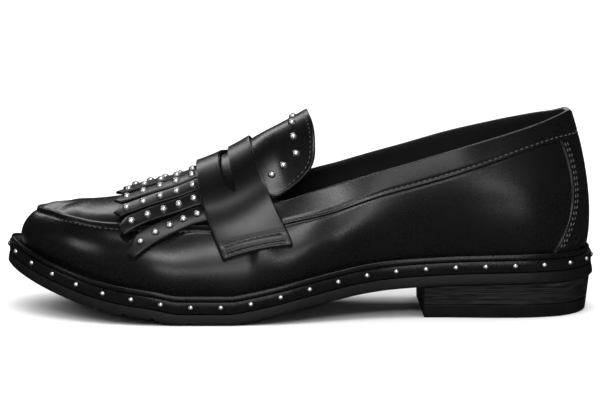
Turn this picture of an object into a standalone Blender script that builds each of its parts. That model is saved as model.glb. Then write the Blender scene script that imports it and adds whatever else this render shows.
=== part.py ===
# Kiltie loafer, left shoe. The toe points to -X, the heel to +X, the lateral side faces -Y,
# and the shoe stands on z = 0. Sizes are in metres.
import bpy
import bmesh
import math
import numpy as np
from mathutils import Matrix, Vector

for old in list(bpy.data.objects):
    bpy.data.objects.remove(old, do_unlink=True)

# Driving sizes of the last and the sole
soleLength = 0.270
ballWidth = 0.094
heelWidth = 0.062
heelRise = 0.0166          # underside of the outsole above the floor, at the back
toeSpring = 0.0210         # underside of the outsole above the floor, at the tip
quarterHeight = 0.0645     # collar above the sole at the back
wall = 0.0020              # leather and lining of the upper
clearance = 0.0003         # between pieces that meet face to face
layerGap = 0.0005          # between curved layers that lie on each other

# Sole layers
outsoleThick = 0.0050
bandThick = 0.0053
topLiftThick = 0.0060
outsoleFlare = 0.0007      # how far the tread edge stands out past the band
heelTaper = 0.0020         # how far the heel draws in from seat to floor
breastLateral = 0.290      # breast line on each side, share of the sole's length
breastMedial = 0.297
grooveDepth = 0.0012
grooveWidth = 0.0018

# Welt, feather line and insole
weltHeight = 0.0023
weltSetback = 0.0009       # welt's outer edge, in from the band's edge
beadWidth = 0.0012
heelInset = 0.0031         # upper in from the sole's edge, at the heel
toeInset = 0.0054          # and at the toe
insoleThick = 0.0020

# Raised work on the upper
collarStep = 0.0007
apronRidge = 0.0009
ridgeHalfWidth = 0.0009
backstayStep = 0.0008
backstayEdge = 0.050       # share of the sole's length

# Strap, fringe and tongue
strapThick = 0.0017
fringeThick = 0.0016
tongueThick = 0.0018
tongueCentre = -0.0070     # middle of the tongue, measured from the instep ridge
underStrap = 0.633         # where fringe and tongue meet under the strap, share of the length
stripCount = 7
stripPitch = 0.0098
stripSplay = 1.14          # pitch at the tips over pitch at the root
fringeDrift = -0.0063      # how far the tips drift to the lateral side
fringeLift = 0.0012        # how far the strips' ends stand off the vamp
tongueEdgeLift = 0.0016    # how far the tongue's sides rise over the throat's edge
strapSideLift = 0.0008     # how far the strap's ends stand off the quarters, over the layer gap
seamAround = 0.040         # the apron seam's distance round the instep, under the outer strips
slitWidth = 0.0010
pointDepth = 0.0032        # how far each strip's point stands past its corners
designCentre = -0.0095     # middle of fringe, slot and tongue, measured from the instep ridge
slotLength = 0.0390
slotWidth = 0.0066
studDiameter = 0.0036
soleStudDiameter = 0.0028
soleStudPitch = 0.0137

# Plan of the sole: along as a share of the length, both sides as shares of the local width
soleSections = [
    # along, lateral, medial
    (0.000, 0.000, 0.000),
    (0.0185, 0.263, 0.263),
    (0.048, 0.397, 0.397),
    (0.096, 0.477, 0.474),
    (0.167, 0.500, 0.494),
    (0.259, 0.484, 0.461),
    (0.352, 0.485, 0.406),
    (0.437, 0.490, 0.352),
    (0.519, 0.493, 0.374),
    (0.600, 0.491, 0.443),
    (0.681, 0.495, 0.493),
    (0.756, 0.490, 0.492),
    (0.822, 0.448, 0.462),
    (0.881, 0.373, 0.405),
    (0.930, 0.277, 0.332),
    (0.967, 0.170, 0.243),
    (0.991, 0.062, 0.148),
    (1.000, -0.043, 0.043),
]

# Side view of the outsole's underside: shares of heelRise and of toeSpring
undersideProfile = [
    # along, heel, toe
    (0.000, 1.000, 0.000),
    (0.096, 0.988, 0.000),
    (0.200, 0.950, 0.000),
    (0.290, 0.880, 0.000),
    (0.352, 0.810, 0.000),
    (0.400, 0.717, 0.000),
    (0.448, 0.566, 0.000),
    (0.496, 0.398, 0.000),
    (0.548, 0.200, 0.000),
    (0.585, 0.080, 0.000),
    (0.615, 0.000, 0.000),
    (0.700, 0.000, 0.000),
    (0.744, 0.000, 0.100),
    (0.793, 0.000, 0.185),
    (0.841, 0.000, 0.295),
    (0.893, 0.000, 0.480),
    (0.946, 0.000, 0.705),
    (0.972, 0.000, 0.835),
    (1.000, 0.000, 1.000),
]

# Each rib of the upper runs from the feather line to the collar, throat edge or instep ridge.
# along is where it starts; topAlong is a share of the length, topLateral and topMedial of
# ballWidth, and the rest are shares of quarterHeight: the top's rise over the sole, and the
# lengths that the rib leaves its foot and reaches its top with, outward and upward.
throatAlong = 0.585
upperSections = [
    # along, topAlong, topLateral, topMedial, topRise, footOut, footUp, topOut, topDown, medialExtra
    (0.000, 0.039, 0.000, 0.000, 0.990, 0.055, 0.250, 0.105, 0.310, 0.000),
    (0.0185, 0.045, 0.062, 0.062, 1.002, 0.055, 0.250, 0.105, 0.310, 0.000),
    (0.048, 0.064, 0.117, 0.117, 0.976, 0.055, 0.250, 0.100, 0.300, 0.000),
    (0.096, 0.101, 0.176, 0.176, 0.926, 0.055, 0.250, 0.090, 0.290, 0.016),
    (0.167, 0.167, 0.237, 0.237, 0.853, 0.055, 0.250, 0.070, 0.280, 0.028),
    (0.259, 0.259, 0.287, 0.282, 0.762, 0.050, 0.240, 0.045, 0.270, 0.033),
    (0.352, 0.344, 0.283, 0.277, 0.678, 0.045, 0.230, 0.045, 0.250, 0.038),
    (0.437, 0.426, 0.277, 0.270, 0.622, 0.040, 0.210, 0.075, 0.220, 0.043),
    (0.489, 0.481, 0.290, 0.280, 0.607, 0.035, 0.200, 0.100, 0.200, 0.043),
    (0.522, 0.530, 0.298, 0.290, 0.590, 0.030, 0.190, 0.120, 0.180, 0.028),
    (0.552, 0.573, 0.262, 0.270, 0.765, 0.030, 0.230, 0.180, 0.160, 0.010),
    (0.570, 0.594, 0.150, 0.170, 0.880, 0.030, 0.320, 0.260, 0.100, 0.000),
    (0.585, 0.604, -0.043, 0.043, 0.935, 0.030, 0.370, 0.380, 0.045, 0.000),
    (0.611, 0.633, -0.045, 0.045, 0.884, 0.035, 0.365, 0.410, 0.030, 0.000),
    (0.681, 0.696, -0.050, 0.050, 0.770, 0.042, 0.355, 0.430, 0.010, 0.000),
    (0.756, 0.759, -0.053, 0.053, 0.645, 0.039, 0.370, 0.430, 0.000, 0.000),
    (0.822, 0.807, -0.053, 0.053, 0.550, 0.039, 0.385, 0.400, 0.000, 0.000),
    (0.881, 0.844, -0.050, 0.050, 0.500, 0.036, 0.335, 0.350, 0.000, 0.000),
    (0.930, 0.867, -0.047, 0.047, 0.472, 0.028, 0.260, 0.300, 0.000, 0.000),
    (0.967, 0.881, -0.045, 0.045, 0.450, 0.021, 0.200, 0.260, 0.000, 0.000),
    (0.991, 0.891, -0.043, 0.043, 0.436, 0.015, 0.160, 0.225, 0.000, 0.000),
    (1.000, 0.896, -0.043, 0.043, 0.430, 0.013, 0.145, 0.217, 0.000, 0.000),
]

# Height over the sole of the one seam that is the collar band's lower edge behind the strap
# and the apron's edge in front of it, as a share of quarterHeight
seamProfile = [
    # along, rise
    (0.000, 0.837),
    (0.063, 0.812),
    (0.103, 0.772),
    (0.211, 0.642),
    (0.344, 0.513),
    (0.463, 0.436),
    (0.524, 0.440),
    (0.667, 0.496),
    (0.740, 0.460),
    (0.815, 0.417),
    (0.873, 0.378),
    (0.919, 0.341),
    (0.950, 0.305),
]

# The instep line that tongue and strap follow behind the throat: share of quarterHeight
instepProfile = [
    # along, rise
    (0.440, 1.105),
    (0.493, 1.085),
    (0.516, 1.065),
    (0.547, 1.035),
    (0.575, 0.992),
    (0.604, 0.935),
]

# Strap edges by distance round the instep from the ridge (share of ballWidth, lateral
# negative), with its front and back edge as shares of the length
strapSections = [
    # around, front, back
    (-0.702, 0.624, 0.513),
    (-0.585, 0.640, 0.534),
    (-0.479, 0.653, 0.551),
    (-0.372, 0.664, 0.561),
    (-0.200, 0.670, 0.572),
    (-0.070, 0.672, 0.578),
    (0.100, 0.671, 0.576),
    (0.250, 0.664, 0.566),
    (0.400, 0.652, 0.552),
    (0.520, 0.638, 0.532),
    (0.620, 0.622, 0.512),
]

# Tongue: half width at each distance back from its front end (shares of the length and of
# ballWidth), and how far it stands off the instep (share of quarterHeight)
tongueSections = [
    # along, halfWidth, lift
    (0.633, 0.240, 0.000),
    (0.600, 0.290, 0.004),
    (0.565, 0.360, 0.006),
    (0.540, 0.394, 0.006),
    (0.510, 0.380, 0.014),
    (0.490, 0.340, 0.026),
    (0.478, 0.270, 0.036),
    (0.472, 0.170, 0.040),
]

ribsPerSide = 34
rowsPerSole = 34


def monotoneCurve(keys, values):
    # Cubic through the table's rows that never overshoots between two of them
    x = np.asarray(keys, float)
    y = np.asarray(values, float)
    step = np.diff(x)
    slope = np.diff(y) / step
    tangent = np.zeros(len(x))
    tangent[0] = slope[0]
    tangent[-1] = slope[-1]
    for i in range(1, len(x) - 1):
        if slope[i - 1] * slope[i] > 0:
            before = 2 * step[i] + step[i - 1]
            after = step[i] + 2 * step[i - 1]
            tangent[i] = (before + after) / (before / slope[i - 1] + after / slope[i])

    def curve(at):
        at = np.clip(np.asarray(at, float), x[0], x[-1])
        k = np.clip(np.searchsorted(x, at, side="right") - 1, 0, len(x) - 2)
        h = step[k]
        t = (at - x[k]) / h
        return (y[k] * (1 + 2 * t) * (1 - t) ** 2 + tangent[k] * h * t * (1 - t) ** 2
                + y[k + 1] * t * t * (3 - 2 * t) + tangent[k + 1] * h * t * t * (t - 1))
    return curve


def column(table, index):
    return [row[index] for row in table]


def smoothStep(low, high, value):
    t = np.clip((np.asarray(value, float) - low) / (high - low), 0.0, 1.0)
    return t * t * (3 - 2 * t)


# Underside and top of the sole, by distance from the heel
undersideHeel = monotoneCurve(column(undersideProfile, 0), column(undersideProfile, 1))
undersideToe = monotoneCurve(column(undersideProfile, 0), column(undersideProfile, 2))


def underside(s):
    share = np.asarray(s, float) / soleLength
    return heelRise * undersideHeel(share) + toeSpring * undersideToe(share)


bandLow = outsoleThick + clearance
soleTopRise = bandLow + bandThick + clearance


def soleTop(s):
    return underside(s) + soleTopRise


# Plan outline: both sides share one parameter p, 0 at the heel's back and 1 at the toe's tip
planAlong = np.array(column(soleSections, 0)) * soleLength
localWidth = heelWidth + (ballWidth - heelWidth) * smoothStep(0.3, 0.6, column(soleSections, 0))
planSide = {
    "lateral": -np.array(column(soleSections, 1)) * localWidth,
    "medial": np.array(column(soleSections, 2)) * localWidth,
}
meanHalf = (planSide["medial"] - planSide["lateral"]) / 2
chord = np.hypot(np.diff(planAlong), np.diff(meanHalf))
planKnots = np.concatenate([[0.0], np.cumsum(chord)]) / np.sum(chord)


def outlineCurve(side):
    other = "medial" if side == "lateral" else "lateral"
    along = np.concatenate([[planAlong[1]], planAlong, [planAlong[-2]]])
    across = np.concatenate([[planSide[other][1]], planSide[side], [planSide[other][-2]]])
    knots = np.concatenate([[-planKnots[1]], planKnots, [2 - planKnots[-2]]])
    step = np.diff(knots)

    def tangents(values):
        slope = np.diff(values) / step
        return (step[1:] * slope[:-1] + step[:-1] * slope[1:]) / (step[1:] + step[:-1])

    alongTangent = tangents(along)
    acrossTangent = tangents(across)

    def hermite(values, tangent, p, derivative):
        k = np.clip(np.searchsorted(planKnots, p, side="right") - 1, 0, len(planKnots) - 2)
        h = planKnots[k + 1] - planKnots[k]
        t = (p - planKnots[k]) / h
        a, b, m, n = values[k + 1], values[k + 2], tangent[k] * h, tangent[k + 1] * h
        if derivative:
            return ((6 * t * t - 6 * t) * (a - b) + (3 * t * t - 4 * t + 1) * m
                    + (3 * t * t - 2 * t) * n) / h
        return (a * (1 + 2 * t) * (1 - t) ** 2 + m * t * (1 - t) ** 2
                + b * t * t * (3 - 2 * t) + n * t * t * (t - 1))

    def outline(p, inset=0.0):
        p = np.clip(np.asarray(p, float), 0.0, 1.0)
        s = hermite(along, alongTangent, p, False)
        y = hermite(across, acrossTangent, p, False)
        ds = hermite(along, alongTangent, p, True)
        dy = hermite(across, acrossTangent, p, True)
        turn = 1.0 if side == "lateral" else -1.0
        length = np.hypot(ds, dy)
        outS, outY = turn * dy / length, -turn * ds / length
        return s - inset * outS, y - inset * outY, outS, outY
    return outline


outlines = {"lateral": outlineCurve("lateral"), "medial": outlineCurve("medial")}
denseP = np.linspace(0.0, 1.0, 2001)
denseAlong = (outlines["lateral"](denseP)[0] + outlines["medial"](denseP)[0]) / 2


def positionOf(share):
    # The outline parameter at a distance from the heel, given as a share of the length
    return np.interp(np.asarray(share, float) * soleLength, denseAlong, denseP)


def featherInset(p):
    return heelInset + (toeInset - heelInset) * np.asarray(p, float)


def spread(count, crowding=0.45):
    # Values from 0 to 1 that stand closer together toward both ends
    t = np.linspace(0.0, 1.0, count + 1)
    return t - crowding * np.sin(2 * math.pi * t) / (2 * math.pi)


def world(s, y, z):
    return np.stack(np.broadcast_arrays(soleLength / 2 - s, y, z), axis=-1)


# Surface of the upper
sectionKeys = positionOf(column(upperSections, 0))
topAlong = monotoneCurve(sectionKeys, np.array(column(upperSections, 1)) * soleLength)
topAcross = {
    "lateral": monotoneCurve(sectionKeys, -np.array(column(upperSections, 2)) * ballWidth),
    "medial": monotoneCurve(sectionKeys, np.array(column(upperSections, 3)) * ballWidth),
}
topRise = monotoneCurve(sectionKeys, np.array(column(upperSections, 4)) * quarterHeight)
footOut = monotoneCurve(sectionKeys, np.array(column(upperSections, 5)) * quarterHeight)
footUp = monotoneCurve(sectionKeys, np.array(column(upperSections, 6)) * quarterHeight)
topOut = monotoneCurve(sectionKeys, np.array(column(upperSections, 7)) * quarterHeight)
topDown = monotoneCurve(sectionKeys, np.array(column(upperSections, 8)) * quarterHeight)
medialExtra = monotoneCurve(sectionKeys, np.array(column(upperSections, 9)) * quarterHeight)
seamRise = monotoneCurve(np.array(column(seamProfile, 0)) * soleLength,
                         np.array(column(seamProfile, 1)) * quarterHeight)
throatP = float(positionOf(throatAlong))


def ribPoint(side, p, t):
    # Point of the plain upper: rib p, from its foot above the welt (t = 0) to its top (t = 1)
    p, t = np.broadcast_arrays(np.asarray(p, float), np.asarray(t, float))
    footS, footY, outS, outY = outlines[side](p, featherInset(p))
    footZ = soleTop(footS) + weltHeight
    topS, topY = topAlong(p), topAcross[side](p)
    topZ = soleTop(topS) + topRise(p) + (medialExtra(p) if side == "medial" else 0.0)
    nudge = 0.002
    ridgeSlope = np.where(
        p >= throatP,
        (soleTop(topAlong(p + nudge)) + topRise(p + nudge) - soleTop(topAlong(p - nudge))
         - topRise(p - nudge)) / np.maximum(topAlong(p + nudge) - topAlong(p - nudge), 1e-6),
        0.0)
    onePoint = (footS + outS * footOut(p), footY + outY * footOut(p), footZ + footUp(p))
    twoPoint = (topS + outS * topOut(p), topY + outY * topOut(p),
                topZ - topDown(p) + ridgeSlope * outS * topOut(p))
    a, b, c, d = (1 - t) ** 3, 3 * t * (1 - t) ** 2, 3 * t * t * (1 - t), t ** 3
    s = a * footS + b * onePoint[0] + c * twoPoint[0] + d * topS
    y = a * footY + b * onePoint[1] + c * twoPoint[1] + d * topY
    z = a * footZ + b * onePoint[2] + c * twoPoint[2] + d * topZ
    return world(s, y, z)


def ribNormal(side, p, t):
    along = ribPoint(side, np.minimum(p + 0.002, 1.0), t) - ribPoint(side, np.maximum(p - 0.002, 0.0), t)
    up = ribPoint(side, p, np.minimum(t + 0.01, 1.0)) - ribPoint(side, p, np.maximum(t - 0.01, 0.0))
    normal = np.cross(along, up) * (-1.0 if side == "lateral" else 1.0)
    return normal / np.linalg.norm(normal, axis=-1, keepdims=True)


def heelDistance(point):
    return soleLength / 2 - point[..., 0]


def seamPosition(side, p):
    # Where a rib crosses the seam, by halving
    low, high = 0.05, 0.97
    for _ in range(24):
        middle = (low + high) / 2
        point = ribPoint(side, p, middle)
        s = heelDistance(point)
        if point[2] < soleTop(s) + seamRise(s):
            low = middle
        else:
            high = middle
    return (low + high) / 2


lowShares = (0.0, 0.18, 0.38, 0.60, 0.82)
highShares = (0.22, 0.45, 0.72, 1.0)
apronStart, apronFull = 0.600, 0.630
collarFull, collarEnd = 0.500, 0.522


def upperRib(side, p):
    # One rib of the outer face with its raised work: seam ridge, collar band and backstay
    seam = seamPosition(side, p)
    reach = np.linalg.norm(ribPoint(side, p, seam + 0.01) - ribPoint(side, p, seam - 0.01)) / 0.02
    halfStep = ridgeHalfWidth / reach
    positions = [share * (seam - halfStep) for share in lowShares]
    positions += [seam - halfStep, seam, seam + halfStep]
    positions += [seam + halfStep + share * (1 - seam - halfStep) for share in highShares]
    seamShare = float(heelDistance(ribPoint(side, p, seam))) / soleLength
    apron = apronRidge * float(smoothStep(apronStart, apronFull, seamShare))
    collar = collarStep * float(1 - smoothStep(collarFull, collarEnd, seamShare))
    backstay = backstayStep if p <= backstayP + 1e-6 else 0.0
    raised = [backstay] * (len(lowShares) + 1) + [max(apron, collar, backstay)]
    raised += [collar] * (1 + len(highShares))
    foot = ribPoint(side, p, 0.0) - np.array([0.0, 0.0, weltHeight])
    points = [foot, ribPoint(side, p, 0.0)]
    for position, lift in zip(positions[1:], raised[1:]):
        points.append(ribPoint(side, p, position) + ribNormal(side, p, position) * lift)
    return points


# Ribs stand closer at both ends; one stands on the throat and two make the backstay's edge
backstayP = float(positionOf(backstayEdge))
ribPlaces = spread(ribsPerSide)
throatIndex = int(np.argmin(abs(ribPlaces - throatP)))
ribPlaces[throatIndex] = throatP
backstayIndex = int(np.argmin(abs(ribPlaces - backstayP)))
ribPlaces[backstayIndex] = backstayP
ribPlaces = np.insert(ribPlaces, backstayIndex + 1, backstayP + 0.003)
throatIndex += 1

# Collections and materials
partCollection = bpy.data.collections.new("kiltie_loafer")
cutterCollection = bpy.data.collections.new("cutters")
bpy.context.scene.collection.children.link(partCollection)
bpy.context.scene.collection.children.link(cutterCollection)


def makeMaterial(name, color, roughness, metallic=0.0):
    material = bpy.data.materials.new(name)
    material.use_nodes = True
    shader = material.node_tree.nodes["Principled BSDF"]
    shader.inputs["Base Color"].default_value = (*color, 1.0)
    shader.inputs["Roughness"].default_value = roughness
    shader.inputs["Metallic"].default_value = metallic
    return material


calf = makeMaterial("calf", (0.012, 0.012, 0.013), 0.32)
lining = makeMaterial("lining", (0.020, 0.019, 0.019), 0.55)
edgeLeather = makeMaterial("edge_leather", (0.016, 0.016, 0.017), 0.45)
soleRubber = makeMaterial("sole_rubber", (0.010, 0.010, 0.010), 0.62)
stackedHeel = makeMaterial("stacked_heel", (0.012, 0.012, 0.012), 0.55)
polishedStud = makeMaterial("polished_stud", (0.80, 0.80, 0.80), 0.12, 1.0)


def addObject(name, mesh, material, collection=partCollection):
    made = bpy.data.objects.new(name, mesh)
    made.data.materials.append(material)
    collection.objects.link(made)
    return made


def meshFrom(name, points, faces, tidy=True):
    mesh = bpy.data.meshes.new(name)
    work = bmesh.new()
    verts = [work.verts.new(tuple(float(v) for v in point)) for point in points]
    for face in faces:
        work.faces.new([verts[i] for i in face])
    if tidy:
        bmesh.ops.recalc_face_normals(work, faces=work.faces)
    work.to_mesh(mesh)
    work.free()
    mesh.shade_smooth()
    mesh.set_sharp_from_angle(angle=math.radians(35))
    return mesh


def solidify(target, thickness, offset=-1.0):
    made = target.modifiers.new("thickness", "SOLIDIFY")
    made.thickness = thickness
    made.offset = offset
    made.use_even_offset = False
    return made


def cutWith(target, cutter, operation="DIFFERENCE"):
    cutter.hide_render = True
    cutter.display_type = "WIRE"
    made = target.modifiers.new(operation.lower(), "BOOLEAN")
    made.operation = operation
    made.solver = "EXACT"
    made.object = cutter


def makeUpper():
    # Lateral ribs, then medial ribs; both sides share the back rib, the toe rib and the ridge
    points, faces, number = [], [], {}
    last = len(ribPlaces) - 1
    for side in ("lateral", "medial"):
        for i, p in enumerate(ribPlaces):
            if side == "medial" and i in (0, last):
                continue
            rib = upperRib(side, float(p))
            for j, point in enumerate(rib):
                shared = j == len(rib) - 1 and i >= throatIndex and side == "medial"
                if shared:
                    continue
                number[side, i, j] = len(points)
                points.append(point)
    top = len(rib) - 1

    def at(side, i, j):
        if i in (0, last) or (j == top and i >= throatIndex):
            side = "lateral"
        return number[side, i, j]

    for side in ("lateral", "medial"):
        for i in range(last):
            for j in range(top):
                corner = [at(side, i, j), at(side, i + 1, j), at(side, i + 1, j + 1), at(side, i, j + 1)]
                faces.append(corner[::-1] if side == "lateral" else corner)
    upper = addObject("upper", meshFrom("upper", points, faces, tidy=False), calf)
    solidify(upper, wall)
    return upper


def soleRing(places, insetAt, heightAt, lastIsPoint=True, medialPlaces=None):
    # Ring of points round the plan: lateral from the heel's back, then medial on the way home
    medialPlaces = places if medialPlaces is None else medialPlaces
    points = []
    for p in places:
        s, y, _, _ = outlines["lateral"](p, insetAt(p))
        points.append(world(s, y, heightAt(s)))
    backwards = medialPlaces[-2:0:-1] if lastIsPoint else medialPlaces[:0:-1]
    for p in backwards:
        s, y, _, _ = outlines["medial"](p, insetAt(p))
        points.append(world(s, y, heightAt(s)))
    return points


def stackRings(name, rings, material, capped=True, lastIsPoint=True):
    # Walls between the rings, and caps made of rungs from the lateral to the medial side
    size = len(rings[0])
    points = [point for ring in rings for point in ring]
    faces = []
    levels = len(rings)
    for level in range(levels if not capped else levels - 1):
        above = (level + 1) % levels
        for k in range(size):
            n = (k + 1) % size
            faces.append([level * size + k, level * size + n, above * size + n, above * size + k])
    if capped:
        rungs = size // 2 if lastIsPoint else (size - 1) // 2
        for level in (0, levels - 1):
            base = level * size
            for k in range(rungs):
                rung = [base + k, base + k + 1, base + (size - k - 1) % size, base + (size - k) % size]
                faces.append(list(dict.fromkeys(rung)))
    return addObject(name, meshFrom(name, points, faces), material)


solePlaces = spread(rowsPerSole)


def flat(value):
    return lambda p: value


def makeOutsole():
    def ring(inset, rise):
        return soleRing(solePlaces, flat(inset), lambda s: underside(s) + rise)
    half = outsoleThick / 2
    outsole = stackRings("outsole", [ring(-outsoleFlare + 0.0006, 0.0), ring(-outsoleFlare, 0.0006),
                                     ring(-outsoleFlare * 0.6, half), ring(0.0, outsoleThick)], soleRubber)
    for index, share in enumerate((0.684, 0.747, 0.793, 0.843)):
        cutter = bpy.data.meshes.new("groove")
        work = bmesh.new()
        bmesh.ops.create_cube(work, size=1.0)
        bmesh.ops.scale(work, vec=(grooveWidth, ballWidth * 1.3, 2 * grooveDepth), verts=work.verts)
        slope = float(underside(share * soleLength + 0.001) - underside(share * soleLength - 0.001)) / 0.002
        bmesh.ops.rotate(work, matrix=Matrix.Rotation(math.atan(slope), 3, "Y"), verts=work.verts)
        work.to_mesh(cutter)
        work.free()
        groove = addObject("groove_%d" % index, cutter, soleRubber, cutterCollection)
        groove.location = (soleLength / 2 - share * soleLength, 0.0, float(underside(share * soleLength)))
        cutWith(outsole, groove)
    return outsole


def makeBand():
    def ring(inset, rise):
        return soleRing(solePlaces, flat(inset), lambda s: underside(s) + bandLow + rise)
    edge = 0.0004
    band = stackRings("midsole", [ring(edge, 0.0), ring(0.0, edge), ring(0.0, bandThick - edge),
                                  ring(edge, bandThick)], edgeLeather)
    # Domes stand half out of the band at one pitch round the whole edge
    studs = bmesh.new()
    for side in ("lateral", "medial"):
        s, y, outS, outY = outlines[side](denseP)
        run = np.concatenate([[0.0], np.cumsum(np.hypot(np.diff(s), np.diff(y)))])
        count = int(round(run[-1] / soleStudPitch))
        for k in range(count + (1 if side == "lateral" else 0)):
            place = k * run[-1] / count
            if side == "medial" and k == 0:
                continue
            p = float(np.interp(place, run, denseP))
            s0, y0, s1, y1 = (float(v) for v in outlines[side](p))
            centre = Vector((soleLength / 2 - s0, y0, float(underside(s0)) + bandLow + bandThick * 0.52))
            made = bmesh.ops.create_uvsphere(studs, u_segments=8, v_segments=5,
                                             radius=soleStudDiameter / 2)
            facing = Vector((-s1, y1, 0.0))
            turn = Vector((0.0, 0.0, 1.0)).rotation_difference(facing).to_matrix()
            bmesh.ops.rotate(studs, matrix=turn, verts=made["verts"])
            bmesh.ops.translate(studs, vec=centre - facing * 0.0004, verts=made["verts"])
    mesh = bpy.data.meshes.new("band_studs")
    studs.to_mesh(mesh)
    studs.free()
    cutWith(band, addObject("band_studs", mesh, polishedStud, cutterCollection), "UNION")
    return band


def makeWelt():
    def inner(p):
        return featherInset(p) - clearance

    def ring(insetAt, rise):
        return soleRing(solePlaces, insetAt, lambda s: soleTop(s) + rise)
    stackRings("welt", [ring(flat(weltSetback), 0.0), ring(flat(weltSetback), weltHeight * 0.55),
                        ring(flat(weltSetback + beadWidth * 0.45), weltHeight * 0.86),
                        ring(inner, weltHeight * 0.92), ring(inner, 0.0)], edgeLeather, capped=False)


def makeInsole():
    def inset(extra):
        return lambda p: featherInset(p) + wall + layerGap + extra

    def ring(extra, rise):
        return soleRing(solePlaces, inset(extra), lambda s: soleTop(s) + rise)
    stackRings("insole", [ring(0.0, 0.0), ring(0.0, insoleThick * 0.8), ring(0.0006, insoleThick)], lining)


def makeHeel():
    lateralEnd = float(positionOf(breastLateral))
    medialEnd = float(positionOf(breastMedial))
    rows = 14
    share = np.linspace(0.0, 1.0, rows + 1) ** 1.25
    lateralPlaces, medialPlaces = share * lateralEnd, share * medialEnd
    totalDrop = heelRise

    def ring(heightAt):
        def insetAt(p):
            s = float(outlines["lateral"](p)[0])
            return heelTaper * (1 - float(heightAt(s)) / totalDrop) + 0.0006
        return soleRing(lateralPlaces, insetAt, heightAt, False, medialPlaces)

    stackRings("heel_block", [ring(lambda s: topLiftThick + clearance),
                              ring(lambda s: underside(s) - clearance)], stackedHeel, True, False)
    stackRings("top_lift", [ring(lambda s: 0.0), ring(lambda s: topLiftThick)], soleRubber, True, False)


# Sections across the instep, from which fringe, strap and tongue are laid out
fieldStart, fieldEnd, fieldStep = 0.435, 0.850, 0.0075
aroundLimit, aroundStep = 0.086, 0.002
fieldSmoothing = 6
instepRise = monotoneCurve(np.array(column(instepProfile, 0)) * soleLength,
                           np.array(column(instepProfile, 1)) * quarterHeight)


def sideSection(side, s):
    # Points of the upper at one distance from the heel, foot first
    places = np.linspace(float(positionOf(0.36)), 0.999, 120)
    found = []
    for t in np.linspace(0.0, 1.0, 33):
        line = ribPoint(side, places, t)
        along = heelDistance(line)
        if along.max() < s or along[0] > s:
            continue
        order = slice(0, int(np.argmax(along)) + 1)
        p = float(np.interp(s, along[order], places[order]))
        found.append(ribPoint(side, p, t))
    return np.array(found)


def instepSection(s):
    # Lateral foot, over the ridge, to medial foot
    halves = []
    for side in ("lateral", "medial"):
        half = sideSection(side, s)
        if s < topAlong(throatP):
            edge = half[-1]
            ridge = world(s, topAcross["medial"](throatP), soleTop(s) + instepRise(s))
            leave = edge - half[-4]
            leave = leave / np.linalg.norm(leave)
            span = np.linalg.norm(ridge - edge)
            arrive = np.array([0.0, ridge[1] - edge[1], 0.0])
            arrive = arrive / np.linalg.norm(arrive)
            t = np.linspace(0.0, 1.0, 16)[1:, None]
            arch = (edge * (1 + 2 * t) * (1 - t) ** 2 + leave * span * t * (1 - t) ** 2
                    + ridge * t * t * (3 - 2 * t) + arrive * span * t * t * (t - 1))
            half = np.vstack([half, arch])
        halves.append(half)
    return halves


def buildField():
    around = np.arange(-aroundLimit, aroundLimit + aroundStep / 2, aroundStep)
    alongs = np.arange(fieldStart, fieldEnd, fieldStep) * soleLength
    rows = []
    for s in alongs:
        lateral, medial = (np.vstack([half[0] + (half[0] - half[1]) * 8, half])
                           for half in instepSection(float(s)))
        runL = np.concatenate([[0.0], np.cumsum(np.linalg.norm(np.diff(lateral[::-1], axis=0), axis=1))])
        runM = np.concatenate([[0.0], np.cumsum(np.linalg.norm(np.diff(medial[::-1], axis=0), axis=1))])
        path = np.vstack([lateral, medial[::-1][1:]])
        run = np.concatenate([-runL[::-1], runM[1:]])
        rows.append(np.stack([np.interp(around, run, path[:, k]) for k in range(3)], axis=-1))
    return alongs, around, np.array(rows)


fieldAlong, fieldAround, fieldPoints = buildField()
for _ in range(fieldSmoothing):
    # The layers bridge the throat's edge in one fair curve
    fieldPoints[1:-1] = (fieldPoints[:-2] + 2 * fieldPoints[1:-1] + fieldPoints[2:]) / 4
    fieldPoints[:, 1:-1] = (fieldPoints[:, :-2] + 6 * fieldPoints[:, 1:-1] + fieldPoints[:, 2:]) / 8
slopeAlong = np.gradient(fieldPoints, fieldAlong, axis=0)
slopeAround = np.gradient(fieldPoints, fieldAround, axis=1)
fieldNormals = np.cross(-slopeAlong, slopeAround)
fieldNormals /= np.maximum(np.linalg.norm(fieldNormals, axis=-1, keepdims=True), 1e-9)


def onInstep(s, w, lift):
    # Point at distance s from the heel and w round the ridge (lateral negative), lift above it
    u = np.clip((s - fieldAlong[0]) / (fieldAlong[1] - fieldAlong[0]), 0, len(fieldAlong) - 1.001)
    v = np.clip((w - fieldAround[0]) / aroundStep, 0, len(fieldAround) - 1.001)
    i, j = int(u), int(v)
    a, b = u - i, v - j

    def blend(grid):
        return ((1 - a) * ((1 - b) * grid[i, j] + b * grid[i, j + 1])
                + a * ((1 - b) * grid[i + 1, j] + b * grid[i + 1, j + 1]))
    normal = blend(fieldNormals)
    return blend(fieldPoints) + normal / np.linalg.norm(normal) * lift


meeting = underStrap * soleLength
layersTop = layerGap + max(fringeThick, tongueThick)
fringeHalf = stripCount * stripPitch / 2
tongueWidest = max(row[1] for row in tongueSections) * ballWidth
layersFrom = min(designCentre - fringeHalf, tongueCentre - tongueWidest)
layersTo = max(designCentre + fringeHalf, tongueCentre + tongueWidest)
stripEnds = [0.777, 0.791, 0.801, 0.802, 0.801, 0.791, 0.777]
stripRoot = 0.676
fringeRows = 7


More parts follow.
